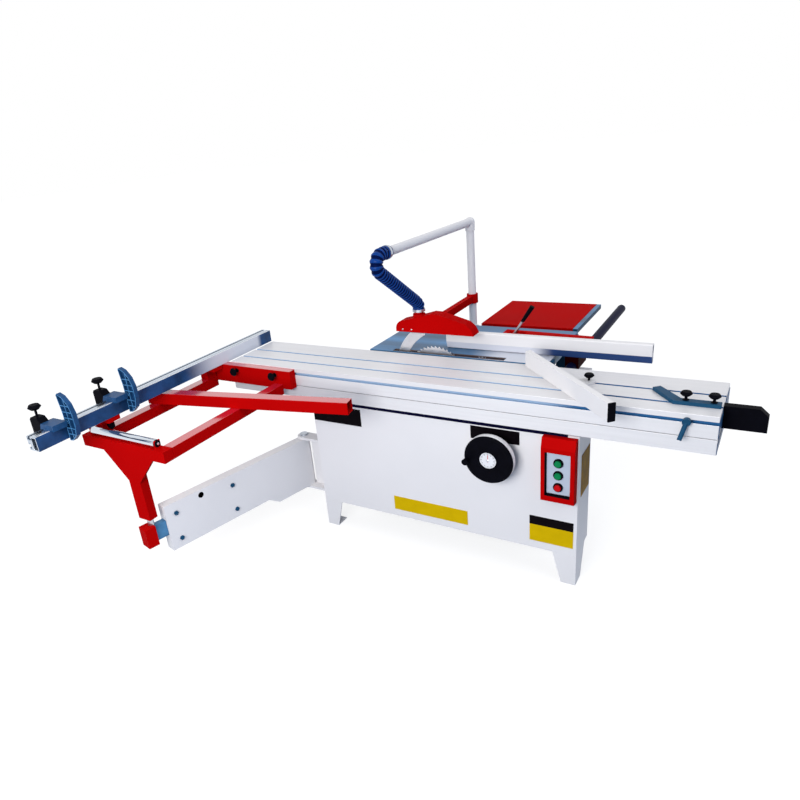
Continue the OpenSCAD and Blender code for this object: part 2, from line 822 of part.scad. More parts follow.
// Clamp block of a stop behind the fence, with its knob, the bridge over the fence and the hinge pin
module stop_block(y) {
    top = cross_z1 + 24;
    crown = cross_z1 + 44;
    back = cross_x0 - 55;
    y0 = y - 78;
    place() {
        along_y(y0, 38)
            polygon([
                [back, cross_z1 - 46], [cross_x0 - seat, cross_z1 - 46], [cross_x0 - seat, cross_z1 + seat],
                [cross_x0 + 10, cross_z1 + seat], [cross_x0 + 10, top], [cross_x0 - 8, crown],
                [back + 8, crown], [back, crown - 10]
            ]);
        box([cross_x0 + 5, y0, cross_z1 + seat], [hinge_x + 10, y - 17, top]);
        translate([back + 26, y0 + 19, crown - 1]) knob(26, 30);
        rod_y(hinge_x, hinge_z, hinge_r, y - 18, y + flap_w / 2);
    }
}

// Flap of a stop, ribbed on the side away from the work, which swings up out of the way
module stop_flap(y) {
    y0 = y - flap_w / 2 - 1;
    rib = 4;
    pocket = flap_w - 7;
    place() difference() {
        along_y(y0, flap_w) polygon(flap_outline(0));
        along_y(y0 - 1, pocket + 1)
            difference() {
                polygon(flap_outline(rib));
                translate([hinge_x, hinge_z]) circle(r = hinge_r + 5);
                translate([cross_x1 + 34, cross_z0 - 10]) square([rib, 200]);
                for (z = [cross_z0 + 20, cross_z0 + 46, hinge_z + 16, hinge_z + 42, hinge_z + 68])
                    translate([cross_x1 - 40, z]) square([140, rib]);
            }
        rod_y(hinge_x, hinge_z, hinge_r + run, y0 - 1, y0 + flap_w + 1);
    }
}

// Side view of a flap, drawn in from its edge by a margin
function flap_outline(t) = [
    [cross_x1 + 7 + t, cross_z0 - 8 + t], [cross_x1 + 27 - t / 4, cross_z0 - 6 + t],
    [cross_x1 + 58 - t, cross_z0 + 20 + t / 2], [cross_x1 + 69 - t, cross_z0 + 64],
    [cross_x1 + 69 - t, hinge_z + 40], [cross_x1 + 57 - t, hinge_z + 78 - t / 2],
    [cross_x1 + 30 - t / 2, hinge_z + 108 - t], [cross_x1 + 2, hinge_z + 118 - t],
    [cross_x1 - 3 + t, hinge_z + 110 - t / 2], [cross_x1 + 6 + t, hinge_z + 40],
    [cross_x1 + 7 + t, hinge_z - 10]
];

module stop_1_block() color("black") stop_block(stop_ys[0]);
module stop_2_block() color("black") stop_block(stop_ys[1]);
module stop_1_flap() color("steelblue") stop_flap(stop_ys[0]);
module stop_2_flap() color("steelblue") stop_flap(stop_ys[1]);

// Push handle on the end of the sliding table
module end_handle() color("black") place()
    along_y(85, 34)
        difference() {
            x0 = car_x0 + car_len;
            polygon([
                [x0, car_z0], [x0 + 140, car_z0], [x0 + 140, table_h - 26], [x0 + 112, table_h], [x0, table_h]
            ]);
        }

shoe_x = car_x0 + car_len - 145;
shoe_knobs = [shoe_x + 26, shoe_x + 116];
shoe_t = 14;

// Bent bar that holds the end of a board
module edging_shoe() color("darkslategray") place() {
    half = 16;
    nose_x = -88;
    nose_y = 105;
    difference() {
        translate([shoe_x, slot_ys[0], table_h])
            linear_extrude(shoe_t)
                polygon([
                    [-14, -half], [140, -half], [140, half], [8, half],
                    [nose_x + 12, nose_y + 10], [nose_x - 12, nose_y - 10]
                ]);
        for (x = shoe_knobs)
            rod_z(x, slot_ys[0], hinge_r + 0.5, table_h - 1, table_h + shoe_t + 1);
    }
}

// Knobs of the shoe and of the outrigger, each with its bolt in a slot
module clamp_knobs() color("black") place() {
    for (x = shoe_knobs)
        translate([x, slot_ys[0], table_h]) slot_bolt(shoe_t + 1, 16);
    for (x = knob_xs)
        translate([x, car_y0, front_slot_z]) rotate([90, 0, 0]) slot_bolt(frame_bar_t + 1, 20);
}

// Bolt head in the slot, stem, washer and knob
module slot_bolt(grip, stem) {
    knob_r = 21;
    translate([0, 0, -skin - tee_h + 1]) cylinder(r = 9, h = tee_h - 2);
    translate([0, 0, -skin - 2]) cylinder(r = hinge_r, h = skin + grip + 2);
    translate([0, 0, grip]) cylinder(r = 11, h = 3);
    translate([0, 0, grip]) knob(knob_r, stem);
}

lever_x = car_x0 + car_len - 100;

// Clamp lever in the front slot
module slot_lever() color("slategray") place()
    translate([lever_x, car_y0 - seat, front_slot_z]) rotate([90, 0, 0]) {
        cylinder(r = 14, h = 18);
        translate([0, 0, 9]) rotate([58, -24, 0]) cylinder(r = 8, h = 68);
    }

// Local frame of the mitre fence: X along its face, origin at the pivot
module on_mitre() {
    translate([mitre_x, mitre_y, table_h]) rotate(mitre_a) children();
}

module mitre_fence() color("white") place() on_mitre() {
    u0 = -290;
    cap = 7;
    difference() {
        box([u0, -mitre_back, seat], [u0 + mitre_len - cap, -mitre_back + mitre_t, mitre_h]);
        box([u0 - 1, -mitre_back + wall, seat + wall],
            [u0 + mitre_len, -mitre_back + mitre_t - wall, mitre_h - wall]);
    }
    box([u0 + mitre_len - cap, -mitre_back - 1, seat],
        [u0 + mitre_len, -mitre_back + mitre_t + 1, mitre_h + 1]);
}

// Pivot plate behind the mitre fence, with its clamp knob
module mitre_bracket() color("black") place() on_mitre() {
    plate = 10;
    face = -mitre_back + mitre_t;
    difference() {
        union() {
            linear_extrude(plate + seat)
                polygon([[-60, face], [60, face], [20, 20], [-20, 20]]);
            box([-60, face, 0], [60, face + plate, mitre_h - 24]);
        }
        translate([0, 0, -1]) cube([400, 400, 2 * (1 + seat)], center = true);
    }
    translate([0, 0, plate]) knob(20, 12);
}

// Rip fence with its carrier on the guide bar
module rip_fence() color("white") place()
    along_x(rip_x1 - rip_len, rip_len)
        difference() {
            undercut = [10, 32];
            half_h = rip_h / 2 - wall - 2;
            translate([rip_y, rip_z0])
                polygon([
                    [undercut[0], 0], [rip_t, 0], [rip_t, rip_h], [4, rip_h], [0, rip_h - 4], [0, undercut[1]]
                ]);
            translate([rip_y + undercut[0] + wall, rip_z0 + wall])
                square([rip_t - undercut[0] - 2 * wall, half_h]);
            translate([rip_y + wall, rip_z0 + rip_h / 2 + 2]) square([rip_t - 2 * wall, half_h]);
        }

carrier_x0 = 150;
carrier_x1 = bar_x + 75;
carrier_d = 70;
lever_z = rip_z0 + 62;
lever_at = carrier_x0 + 40;
lever_a = 33;

module rip_carrier() color("firebrick") place() {
    y0 = rip_y + rip_t;
    head_w = 60;
    head_d = 130;
    difference() {
        union() {
            along_y(y0, carrier_d)
                polygon([
                    [carrier_x0, rip_z0], [carrier_x1, rip_z0],
                    [carrier_x1, rip_z0 + 72], [carrier_x0, rip_z0 + 80]
                ]);
            box([bar_x - head_w / 2, y0, bar_z - 8], [bar_x + head_w / 2, y0 + head_d, rip_z0 + 30]);
        }
        rod_y(bar_x, bar_z, bar_r + run, y0 - 1, y0 + head_d + 1);
        box([lever_at - 16, y0 + 20, rip_z0 + 40], [lever_at + 60, y0 + 50, rip_z0 + 90]);
    }
    rod_y(lever_at, lever_z, hinge_r, y0 + 19, y0 + 51);
}

// Cam lever of the rip fence, with its grip
module rip_lever() color("black") place() {
    y = rip_y + rip_t + 35;
    difference() {
        union() {
            rod_y(lever_at, lever_z, 11, y - 12, y + 12);
            translate([lever_at, y, lever_z]) rotate([0, lever_a, 0]) {
                cylinder(r = 6, h = 84);
                translate([0, 0, 82]) cylinder(r1 = 8, r2 = 11, h = 86);
            }
        }
        rod_y(lever_at, lever_z, hinge_r + run, y - 13, y + 13);
    }
}

// Two columns under the main table, tied by a foot plate
module lift_guide() color("gray") place() {
    foot_z = motor_z - motor_r - 90;
    for (x = column_xs)
        rod_z(x, unit_y + unit_d / 2, column_r, foot_z + run, main_under);
    box([column_xs[0] - 25, unit_y, foot_z - 15], [column_xs[1] + 25, unit_y + unit_d, foot_z]);
}

// Closed gearbox at the end of the handwheel's shaft
module lift_gearbox() color("gray") place()
    difference() {
        half = 40;
        y = unit_y + unit_d / 2;
        box([wheel_x - half, y - half, wheel_z - 35], [wheel_x + half, base_d - sheet, gear_top]);
        rod_y(wheel_x, wheel_z, shaft_r + run, y - half - 1, y - half + 25);
        rod_z(wheel_x, y, shaft_r + run, gear_top - 12, gear_top + 1);
    }

module lift_screw() color("silver") place()
    rod_z(wheel_x, unit_y + unit_d / 2, shaft_r, gear_top - 11.5, main_under - 12);

// Slide that carries the arbor, the motor and the riving knife
module lift_frame() color("dimgray") place()
    difference() {
        union() {
            box([column_xs[0] - 32, unit_y, beam_z0], [wheel_x + 30, unit_y + unit_d, beam_z0 + beam_h]);
            rod_y(blade_x, arbor_z, hub_r, blade_y + 20, unit_y + unit_d);
            box([blade_x - 60, unit_y + 12, motor_z], [blade_x + 60, unit_y + unit_d - 12, beam_z0]);
            box([knife_x, blade_y + blade_t / 2 + 4, arbor_z - 80],
                [blade_x + 35, blade_y + 42, arbor_z - 44]);
            box([knife_x, blade_y + 1.5, arbor_z - 80], [knife_x + 45, blade_y + 42, arbor_z - 44]);
            box([blade_x - 35, blade_y + 22, arbor_z - 60], [blade_x + 35, blade_y + 42, arbor_z]);
        }
        rod_y(blade_x, arbor_z, arbor_r + run, blade_y, unit_y + unit_d + 1);
        for (x = column_xs)
            rod_z(x, unit_y + unit_d / 2, column_r + run, beam_z0 - 1, beam_z0 + beam_h + 1);
        rod_z(wheel_x, unit_y + unit_d / 2, shaft_r + run, beam_z0 - 1, beam_z0 + beam_h + 1);
        rod_y(blade_x, motor_z, motor_r + seat, unit_y - 200, unit_y + unit_d + 1);
    }

knife_x = blade_x - blade_d / 2 - 47;

// Curved knife behind the blade
module riving_knife() color("white") place()
    along_y(blade_y - 1.5, 3)
        intersection() {
            difference() {
                translate([blade_x + 45, arbor_z + 17]) circle(r = blade_d / 2 + 105);
                translate([blade_x + 55, arbor_z + 12]) circle(r = blade_d / 2 + 64.5);
            }
            translate([blade_x - 260, arbor_z - 80]) square([210, hood_z0 - 12 - arbor_z + 80]);
        }

// Arbor with its flanges and pulley
module arbor() color("silver") place() {
    y = blade_y;
    rod_y(blade_x, arbor_z, arbor_r, y - 14, pulley_y + pulley_w);
    rod_y(blade_x, arbor_z, 38, y + blade_t / 2, y + 14);
    rod_y(blade_x, arbor_z, pulley_a, pulley_y, pulley_y + pulley_w);
}

// Toothed blade, clamped by the outer flange and nut
module saw_blade() color("lightsteelblue") place() {
    r = blade_d / 2;
    gullet = r - 9;
    step = 360 / blade_teeth;
    difference() {
        union() {
            along_y(blade_y - blade_t / 2, blade_t)
                translate([blade_x, arbor_z])
                    polygon([
                        for (i = [0 : blade_teeth - 1])
                            each [
                                r * [cos(i * step), sin(i * step)],
                                gullet * [cos((i + 0.12) * step), sin((i + 0.12) * step)],
                                gullet * [cos((i + 0.45) * step), sin((i + 0.45) * step)]
                            ]
                    ]);
            rod_y(blade_x, arbor_z, 38, blade_y - 9, blade_y - blade_t / 2);
        }
        rod_y(blade_x, arbor_z, arbor_r + run, blade_y - 10, blade_y + 10);
    }
}

// Belt outline round the two pulleys, grown by a margin
function belt_arc(r, z, from, to) =
    [
        for (i = [0 : belt_steps])
            let (a = from + (to - from) * i / belt_steps)
            [blade_x + r * cos(a), z + r * sin(a)]
    ];

belt_steps = 24;
belt_tilt = asin((pulley_m - pulley_a) / (arbor_z - motor_z));

module belt_outline(margin) {
    polygon(concat(
        belt_arc(pulley_a + margin, arbor_z, belt_tilt, 180 - belt_tilt),
        belt_arc(pulley_m + margin, motor_z, 180 - belt_tilt, 360 + belt_tilt)
    ));
}

module drive_belt() color("black") place()
    along_y(pulley_y + 1, pulley_w - 2)
        difference() {
            belt_outline(belt_t + seat);
            belt_outline(seat);
        }

module motor() color("royalblue") place() {
    difference() {
        union() {
            rod_y(blade_x, motor_z, motor_r, unit_y - 150, unit_y + unit_d);
            rod_y(blade_x, motor_z, motor_r - 18, unit_y - 172, unit_y - 150);
        }
        rod_y(blade_x, motor_z, arbor_r + run, unit_y, unit_y + unit_d + 1);
    }
}

module motor_pulley() color("silver") place() {
    rod_y(blade_x, motor_z, arbor_r, unit_y + seat, pulley_y + pulley_w);
    rod_y(blade_x, motor_z, pulley_m, pulley_y, pulley_y + pulley_w);
}

// Dished handwheel on its shaft, with a crank handle
module handwheel() color("black") place() {
    r = wheel_d / 2;
    rod_y(wheel_x, wheel_z, shaft_r, wheel_y, unit_y + unit_d / 2 - 40 + 24);
    translate([wheel_x, wheel_y, wheel_z]) rotate([90, 0, 0])
        rotate_extrude($fn = 96)
            polygon([
                [0, -16], [24, -16], [30, -4], [r - 20, -4], [r - 14, -22], [r - 4, -24], [r, -16], [r, 8],
                [r - 4, 16], [r - 12, 19], [r - 24, 16], [46, 16], [42, 21], [38, 21], [36, 14], [0, 14]
            ]);
    translate([wheel_x, wheel_y, wheel_z]) rotate([0, -6, 0]) translate([-r + 16, 0, 0]) rotate([90, 0, 0]) {
        cylinder(r = 6, h = 16);
        translate([0, 0, 14]) cylinder(r1 = 11, r2 = 14, h = 32);
    }
}

// Small motor under the table that drives the scoring blade
module scoring_motor() color("royalblue") place() {
    y0 = blade_y + 34;
    difference() {
        union() {
            rod_y(score_x, score_z, score_r, y0, y0 + 120);
            box([score_x - 24, y0 + 15, score_z], [score_x + 24, y0 + 105, main_under]);
        }
        rod_y(score_x, score_z, arbor_r / 2 + run, y0 - 1, y0 + 40);
    }
}

module scoring_blade() color("lightsteelblue") place() {
    teeth = 24;
    r = score_d / 2;
    step = 360 / teeth;
    along_y(blade_y - blade_t / 2, blade_t)
        translate([score_x, score_z])
            polygon([
                for (i = [0 : teeth - 1])
                    each [
                        r * [cos(i * step), sin(i * step)],
                        (r - 6) * [cos((i + 0.15) * step), sin((i + 0.15) * step)],
                        (r - 6) * [cos((i + 0.5) * step), sin((i + 0.5) * step)]
                    ]
            ]);
    rod_y(score_x, score_z, 18, blade_y - 8, blade_y + 12);
    rod_y(score_x, score_z, arbor_r / 2, blade_y, blade_y + 34 + 39);
}

cabinet_front();
cabinet_sides();
cabinet_decks();
legs();
support_blocks();
guide_rail();
main_table();
extension_table();
table_brackets();
fence_bar();
dust_post();
dust_duct();
dust_hose();
hood_arm();
blade_hood();
control_box();
control_plate();
hinge_brackets();
lift_guide();
lift_gearbox();
scoring_motor();
carriage();
end_handle();
outrigger_bar();
outrigger_rails();
outrigger_beam();
cross_bar();
fence_blocks();
crosscut_fence();
edging_shoe();
clamp_knobs();
slot_lever();
support_roller();
mitre_fence();
mitre_bracket();
roller_cage();
swing_arm();
arm_rollers();
arm_bar();
arm_head();
stop_1_block();
stop_1_flap();
stop_2_block();
stop_2_flap();
rip_carrier();
rip_fence();
rip_lever();
lift_frame();
arbor();
saw_blade();
riving_knife();
drive_belt();
motor();
motor_pulley();
lift_screw();
handwheel();
scoring_blade();
start_button();
scoring_button();
stop_button();
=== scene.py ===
import json
import math

import bpy
from mathutils import Matrix, Vector


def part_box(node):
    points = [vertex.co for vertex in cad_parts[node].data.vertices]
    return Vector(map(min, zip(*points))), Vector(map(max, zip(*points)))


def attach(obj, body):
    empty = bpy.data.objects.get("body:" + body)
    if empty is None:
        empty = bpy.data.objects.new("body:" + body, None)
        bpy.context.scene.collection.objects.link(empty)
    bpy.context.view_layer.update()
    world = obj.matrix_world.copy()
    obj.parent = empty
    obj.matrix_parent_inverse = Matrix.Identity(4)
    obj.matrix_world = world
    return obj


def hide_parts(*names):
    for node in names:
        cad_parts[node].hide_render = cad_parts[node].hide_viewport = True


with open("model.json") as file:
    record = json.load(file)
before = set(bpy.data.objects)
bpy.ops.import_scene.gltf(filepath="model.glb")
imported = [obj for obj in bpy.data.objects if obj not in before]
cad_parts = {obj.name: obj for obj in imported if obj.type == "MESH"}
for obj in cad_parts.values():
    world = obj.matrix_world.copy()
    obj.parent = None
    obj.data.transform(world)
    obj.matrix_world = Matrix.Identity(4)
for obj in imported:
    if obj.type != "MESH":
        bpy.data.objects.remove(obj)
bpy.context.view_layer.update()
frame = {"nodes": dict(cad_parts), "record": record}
nodes = frame["nodes"]

MM = 0.001
# The cabinet's front face is the datum for depth
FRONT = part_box("cabinet_front")[0].y


def at(x, y, z):
    """A point in millimetres, measured from the middle of the cabinet's front face, in the row frame."""
    return Vector((x * MM, FRONT + y * MM, z * MM))


# Camera, solved from the square edges of the machine in the photograph
CAMERA_AT = at(1228.26, -2339.12, 1861.0)
CAMERA_RIGHT = Vector((0.84872864, 0.51920668, -0.10041967))
CAMERA_DOWN = Vector((0.12991753, -0.38878503, -0.9121226))
CAMERA_AHEAD = Vector((-0.51262182, 0.7610983, -0.39742704))
FOCAL_PX = 664.803
CENTRE_PX = (363.79, 418.24)
IMAGE_PX = 800.0
SENSOR = 36.0

# Widths of broken edges: of the solids, of plain blocks, of thin plates and of the smallest strips
EDGE = 1.2 * MM
BLOCK_EDGE = 0.8 * MM
PLATE_EDGE = 0.4 * MM
STRIP_EDGE = 0.3 * MM

# Places in millimetres that repeat values of the part's source
TABLE_TOP = 856.0
CARRIAGE_FRONT = -18.0
CARRIAGE_END = 1100.0
SLOT_YS = (69.0, 178.0)
FRONT_SLOT_Z = 829.0
GROOVE_HALF = 13.0
GROOVE_DEEP = 16.0
WHEEL = (290, -66, 575)
RIM_R = 100.0
RIM_BACK_Y = -74.0
WHEEL_SHAFT_Y = -36.0
LEVER_GRIP_Z = 988.5
MITRE_PIVOT = (618, 178)
MITRE_TURN = math.radians(-45.9)
MITRE_CAP_U = 352.5
MITRE_PLATE_TOP = 866.5
STUD_TOP = 868.0
TABLE_KNOB_Y = -61.0
CONTROL_PLATE_Y = -20.0
BOX_FACE_Y = -39.5
BOX_WINDOW_X = (511.0, 612.0)
BOX_WINDOW_Z = (438.0, 632.0)
CABINET_SIDE_X = 635.0
FOOT_PIN_Z = 424.5
TRIM_X = 362.9
TRIM_TOP = 850.0
EXTENSION_Y = 869.0
ARM_PIVOT = (-765.0, 60.0)
ARM_WAY = (-210.0, -860.0)
ARM_START = 30.0
ARM_END = 825.3
ARM_HALF = 25.0
ARM_Z = (225.0, 450.0)
HINGE_NUT_Z = 462.6
FENCE_FACE_X = -1120.0
STOP_BLOCK_X = -1169.0
RIP_BOTTOM = 858.0
CARRIER_FRONT = 468.0
RIP_FACE_BACK = 448.0
RIP_FACE_LOW = 880.0
# How near to a plane the middle of a face lies to count as on it
ON_FACE = 0.5
# How far inside a surface a face lies to count as behind it
SKIN = 0.3


def add_camera():
    """The photograph's own viewpoint, with its off-centre frame as a shift."""
    data = bpy.data.cameras.new("camera")
    data.sensor_width = SENSOR
    data.lens = FOCAL_PX * SENSOR / IMAGE_PX
    data.shift_x = (IMAGE_PX / 2 - CENTRE_PX[0]) / IMAGE_PX
    data.shift_y = (CENTRE_PX[1] - IMAGE_PX / 2) / IMAGE_PX
    data.clip_end = 60.0
    camera = bpy.data.objects.new("camera", data)
    turn = Matrix((CAMERA_RIGHT, -CAMERA_DOWN, -CAMERA_AHEAD)).transposed()
    camera.matrix_world = Matrix.Translation(CAMERA_AT) @ turn.to_4x4()
    bpy.context.scene.collection.objects.link(camera)
    bpy.context.scene.camera = camera


# Materials
def new_material(name):
    """A material, its node tree and its shader."""
    mat = bpy.data.materials.new(name)
    mat.use_nodes = True
    tree = mat.node_tree
    return mat, tree, tree.nodes["Principled BSDF"]


def noise(tree, scale, stretch=(1, 1, 1), detail=3.0):
    """Noise in the object's own coordinates, stretched along the axes."""
    coords = tree.nodes.new("ShaderNodeTexCoord")
    mapping = tree.nodes.new("ShaderNodeMapping")
    mapping.inputs["Scale"].default_value = stretch
    texture = tree.nodes.new("ShaderNodeTexNoise")
    texture.inputs["Scale"].default_value = scale
    texture.inputs["Detail"].default_value = detail
    tree.links.new(coords.outputs["Object"], mapping.inputs["Vector"])
    tree.links.new(mapping.outputs["Vector"], texture.inputs["Vector"])
    return texture.outputs["Fac"]


def ramp(tree, value, low, high):
    """Colours from low to high over the middle of a noise."""
    node = tree.nodes.new("ShaderNodeValToRGB")
    node.color_ramp.elements[0].position = 0.3
    node.color_ramp.elements[1].position = 0.7
    node.color_ramp.elements[0].color = (*low, 1)
    node.color_ramp.elements[1].color = (*high, 1)
    tree.links.new(value, node.inputs["Fac"])
    return node.outputs["Color"]


def spread(tree, value, low, high):
    """A value of 0 to 1 taken to the span from low to high."""
    node = tree.nodes.new("ShaderNodeMapRange")
    node.inputs["To Min"].default_value = low
    node.inputs["To Max"].default_value = high
    tree.links.new(value, node.inputs["Value"])
    return node.outputs["Result"]


def surface(name, colour, rough, metal=0.0, coat=0.0, vary=0.06, grain=40.0, stretch=(1, 1, 1),
            bump=0.0, bump_scale=600.0, rough_vary=0.06, shine=0.5):
    """A finish with slight drift in colour and gloss, and a fine grain."""
    mat, tree, bsdf = new_material(name)
    low = tuple(c * (1 - vary) for c in colour)
    high = tuple(min(1.0, c * (1 + vary)) for c in colour)
    drift = noise(tree, grain, stretch)
    tree.links.new(ramp(tree, drift, low, high), bsdf.inputs["Base Color"])
    tree.links.new(spread(tree, drift, rough - rough_vary, rough + rough_vary), bsdf.inputs["Roughness"])
    bsdf.inputs["Metallic"].default_value = metal
    bsdf.inputs["Specular IOR Level"].default_value = shine
    bsdf.inputs["Coat Weight"].default_value = coat
    bsdf.inputs["Coat Roughness"].default_value = 0.12
    if bump:
        node = tree.nodes.new("ShaderNodeBump")
        node.inputs["Strength"].default_value = bump
        node.inputs["Distance"].default_value = 0.0004
        tree.links.new(noise(tree, bump_scale, stretch), node.inputs["Height"])
        tree.links.new(node.outputs["Normal"], bsdf.inputs["Normal"])
    return mat


ALONG_X = (0.02, 1, 1)
ALONG_Y = (1, 0.02, 1)

LOOKS = {
    "white_paint": surface("white_paint", (0.735, 0.72, 0.725), 0.40, coat=0.08, vary=0.02, grain=3,
                           bump=0.08, shine=0.3),
    "red_paint": surface("red_paint", (0.43, 0.0012, 0.0014), 0.5, vary=0.05, grain=4, bump=0.05,
                         shine=0.005),
    "anodised": surface("anodised", (0.70, 0.69, 0.70), 0.36, metal=0.1, vary=0.03, grain=90,
                        stretch=ALONG_X, bump=0.05, shine=0.3),
    "bare_aluminium": surface("bare_aluminium", (0.58, 0.64, 0.72), 0.26, metal=1.0, vary=0.10, grain=120,
                              stretch=ALONG_Y, bump=0.06),
    "cast_table": surface("cast_table", (0.055, 0.16, 0.30), 0.32, metal=0.4, vary=0.5, grain=11,
                          stretch=ALONG_X, bump=0.08, shine=0.05),
    "steel": surface("steel", (0.50, 0.54, 0.60), 0.30, metal=1.0, vary=0.05, grain=60, bump=0.03),
    "ground_steel": surface("ground_steel", (0.86, 0.87, 0.90), 0.30, metal=1.0, vary=0.03, grain=60,
                            bump=0.03),
    "chrome": surface("chrome", (0.68, 0.73, 0.80), 0.10, metal=1.0, vary=0.04, grain=200, stretch=ALONG_X,
                      rough_vary=0.03),
    "black_plastic": surface("black_plastic", (0.002, 0.002, 0.004), 0.5, vary=0.25, grain=30, bump=0.15,
                             bump_scale=1500, shine=0.02),
    "grey_paint": surface("grey_paint", (0.010, 0.060, 0.125), 0.40, vary=0.10, grain=25, bump=0.12,
                          shine=0.06),
    "stop_casting": surface("stop_casting", (0.010, 0.055, 0.15), 0.40, vary=0.18, grain=40, bump=0.3,
                            bump_scale=900, shine=0.15),
    # Lighter copy of the stop casting: a painted highlight
    "stop_casting_painted_highlight": surface("stop_casting_painted_highlight", (0.055, 0.19, 0.38), 0.36, vary=0.18, grain=40, bump=0.2,
                            bump_scale=900, shine=0.3),
    "blue_hose": surface("blue_hose", (0.002, 0.040, 0.21), 0.34, vary=0.18, grain=25, bump=0.05,
                         shine=0.1),
    # Dark copy of the hose's blue for the valleys between its ribs: painted shade
    "hose_valley_painted_shade": surface("hose_valley_painted_shade", (0.0005, 0.005, 0.045), 0.5, vary=0.18, grain=25, shine=0.02),
    "blue_paint": surface("blue_paint", (0.02, 0.06, 0.20), 0.40, vary=0.08, grain=20, bump=0.15,
                          shine=0.3),
    "dark_bar": surface("dark_bar", (0.004, 0.006, 0.028), 0.40, vary=0.2, grain=60, stretch=ALONG_Y,
                        bump=0.08, shine=0.02),
    "belt_rubber": surface("belt_rubber", (0.02, 0.02, 0.02), 0.7, vary=0.2, grain=60, bump=0.3, shine=0.2),
    "green_plastic": surface("green_plastic", (0.003, 0.19, 0.06), 0.3, vary=0.1, grain=60, shine=0.06),
    "red_plastic": surface("red_plastic", (0.52, 0.003, 0.006), 0.3, vary=0.1, grain=60, shine=0.06),
    # Glossier copy of the red paint for the tops of the red tubes; the gloss is real, and its pinker colour
    # is a painted sheen
    "glossy_red_painted_sheen": surface("glossy_red_painted_sheen", (0.50, 0.012, 0.03), 0.16, coat=1.0, vary=0.05, grain=4,
                            rough_vary=0.04, shine=0.8),
    # Dark copy of the red paint: painted shade
    "red_painted_shade": surface("red_painted_shade", (0.022, 0.0004, 0.0008), 0.5, vary=0.1, grain=8, bump=0.1,
                          shine=0.005),
    "button_plate": surface("button_plate", (0.47, 0.52, 0.62), 0.4, vary=0.04, grain=30, shine=0.15),
}
# Nodes whose finish differs from the rest of their slot
NODE_LOOKS = {
    "saw_blade": "ground_steel",
    "riving_knife": "ground_steel",
    "arm_bar": "cast_table",
    "control_plate": "button_plate",
}
YELLOW = surface("yellow_plate", (0.60, 0.40, 0.0015), 0.42, vary=0.05, grain=20, bump=0.05, shine=0.02)
BROWN_PLATE = surface("brown_plate", (0.33, 0.16, 0.006), 0.45, vary=0.3, grain=30, bump=0.05, shine=0.02)
BLACK_PLATE = surface("black_plate", (0.003, 0.002, 0.003), 0.4, vary=0.3, grain=25, bump=0.05, shine=0.02)
# Dark strip along the gap under the guide rail: painted shade
RAIL_GAP_SHADE = surface("rail_gap_painted_shade", (0.002, 0.002, 0.018), 0.6, vary=0.2, grain=60, stretch=ALONG_X, shine=0.02)
WHITE_PLATE = surface("white_plate", (0.74, 0.74, 0.76), 0.4, vary=0.04, grain=30, shine=0.3)
INSERT = surface("insert_strip", (0.045, 0.020, 0.016), 0.4, vary=0.2, grain=60, stretch=ALONG_X, bump=0.1,
                 shine=0.3)
INK = surface("ink", (0.008, 0.008, 0.012), 0.5, vary=0.3, grain=50, shine=0.2)


def combined(tree, operation, first, second):
    """One value worked out from two."""
    node = tree.nodes.new("ShaderNodeMath")
    node.operation = operation
    tree.links.new(first, node.inputs[0])
    tree.links.new(second, node.inputs[1])
    return node.outputs["Value"]


def fade(tree, axis, start, stop):
    """0 to 1 along an axis, between two places in millimetres."""
    offset = FRONT if axis == "Y" else 0.0
    coords = tree.nodes.new("ShaderNodeTexCoord")
    split = tree.nodes.new("ShaderNodeSeparateXYZ")
    along = tree.nodes.new("ShaderNodeMapRange")
    along.interpolation_type = "SMOOTHSTEP"
    along.inputs["From Min"].default_value = offset + start * MM
    along.inputs["From Max"].default_value = offset + stop * MM
    tree.links.new(coords.outputs["Object"], split.inputs["Vector"])
    tree.links.new(split.outputs[axis], along.inputs["Value"])
    return along.outputs["Result"]


def shaded(name, near, far, *fades, vary=0.06, grain=11.0):
    """A satin finish that passes from one colour to another where all its fades have risen."""
    mat, tree, bsdf = new_material(name)
    share = fade(tree, *fades[0])
    for other in fades[1:]:
        share = combined(tree, "MULTIPLY", share, fade(tree, *other))
    drift = noise(tree, grain, ALONG_X)
    low = tuple(c * (1 - vary) for c in near)
    high = tuple(c * (1 + vary) for c in near)
    colour = tree.nodes.new("ShaderNodeMixRGB")
    colour.inputs["Color2"].default_value = (*far, 1)
    tree.links.new(share, colour.inputs["Fac"])
    tree.links.new(ramp(tree, drift, low, high), colour.inputs["Color1"])
    tree.links.new(colour.outputs["Color"], bsdf.inputs["Base Color"])
    tree.links.new(spread(tree, drift, 0.30, 0.42), bsdf.inputs["Roughness"])
    bsdf.inputs["Specular IOR Level"].default_value = 0.2
    return mat


# Painted light on the rip fence's underside: a painted reflection, pale over the tables, and painted shade,
# dark over the open floor
LOOKS["undercut"] = shaded("undercut", (0.66, 0.67, 0.73), (0.025, 0.06, 0.19), ("X", 320, 400))
# Painted shade inside the clamping slots: lighter in the middle of the table and darker towards its end
LOOKS["slot_painted_shade"] = shaded("slot_painted_shade", (0.34, 0.48, 0.66), (0.03, 0.14, 0.34), ("X", 480, 640))
# Painted reflection on the fence's face: pale beside the sliding table and dark blue towards both ends
LOOKS["fence_face_painted_reflection"] = shaded("fence_face_painted_reflection", (0.012, 0.055, 0.16), (0.62, 0.64, 0.70),
                             ("Y", -320, -90), ("Y", 255, 215), vary=0.45)
# Painted sheen on the main table: pale towards its front right corner, fading to blue towards the back and
# the left
LOOKS["table_top_painted_sheen"] = shaded("table_top_painted_sheen", (0.050, 0.165, 0.33), (0.58, 0.60, 0.66),
                            ("X", 0, 190), ("Y", 800, 430), vary=0.5)


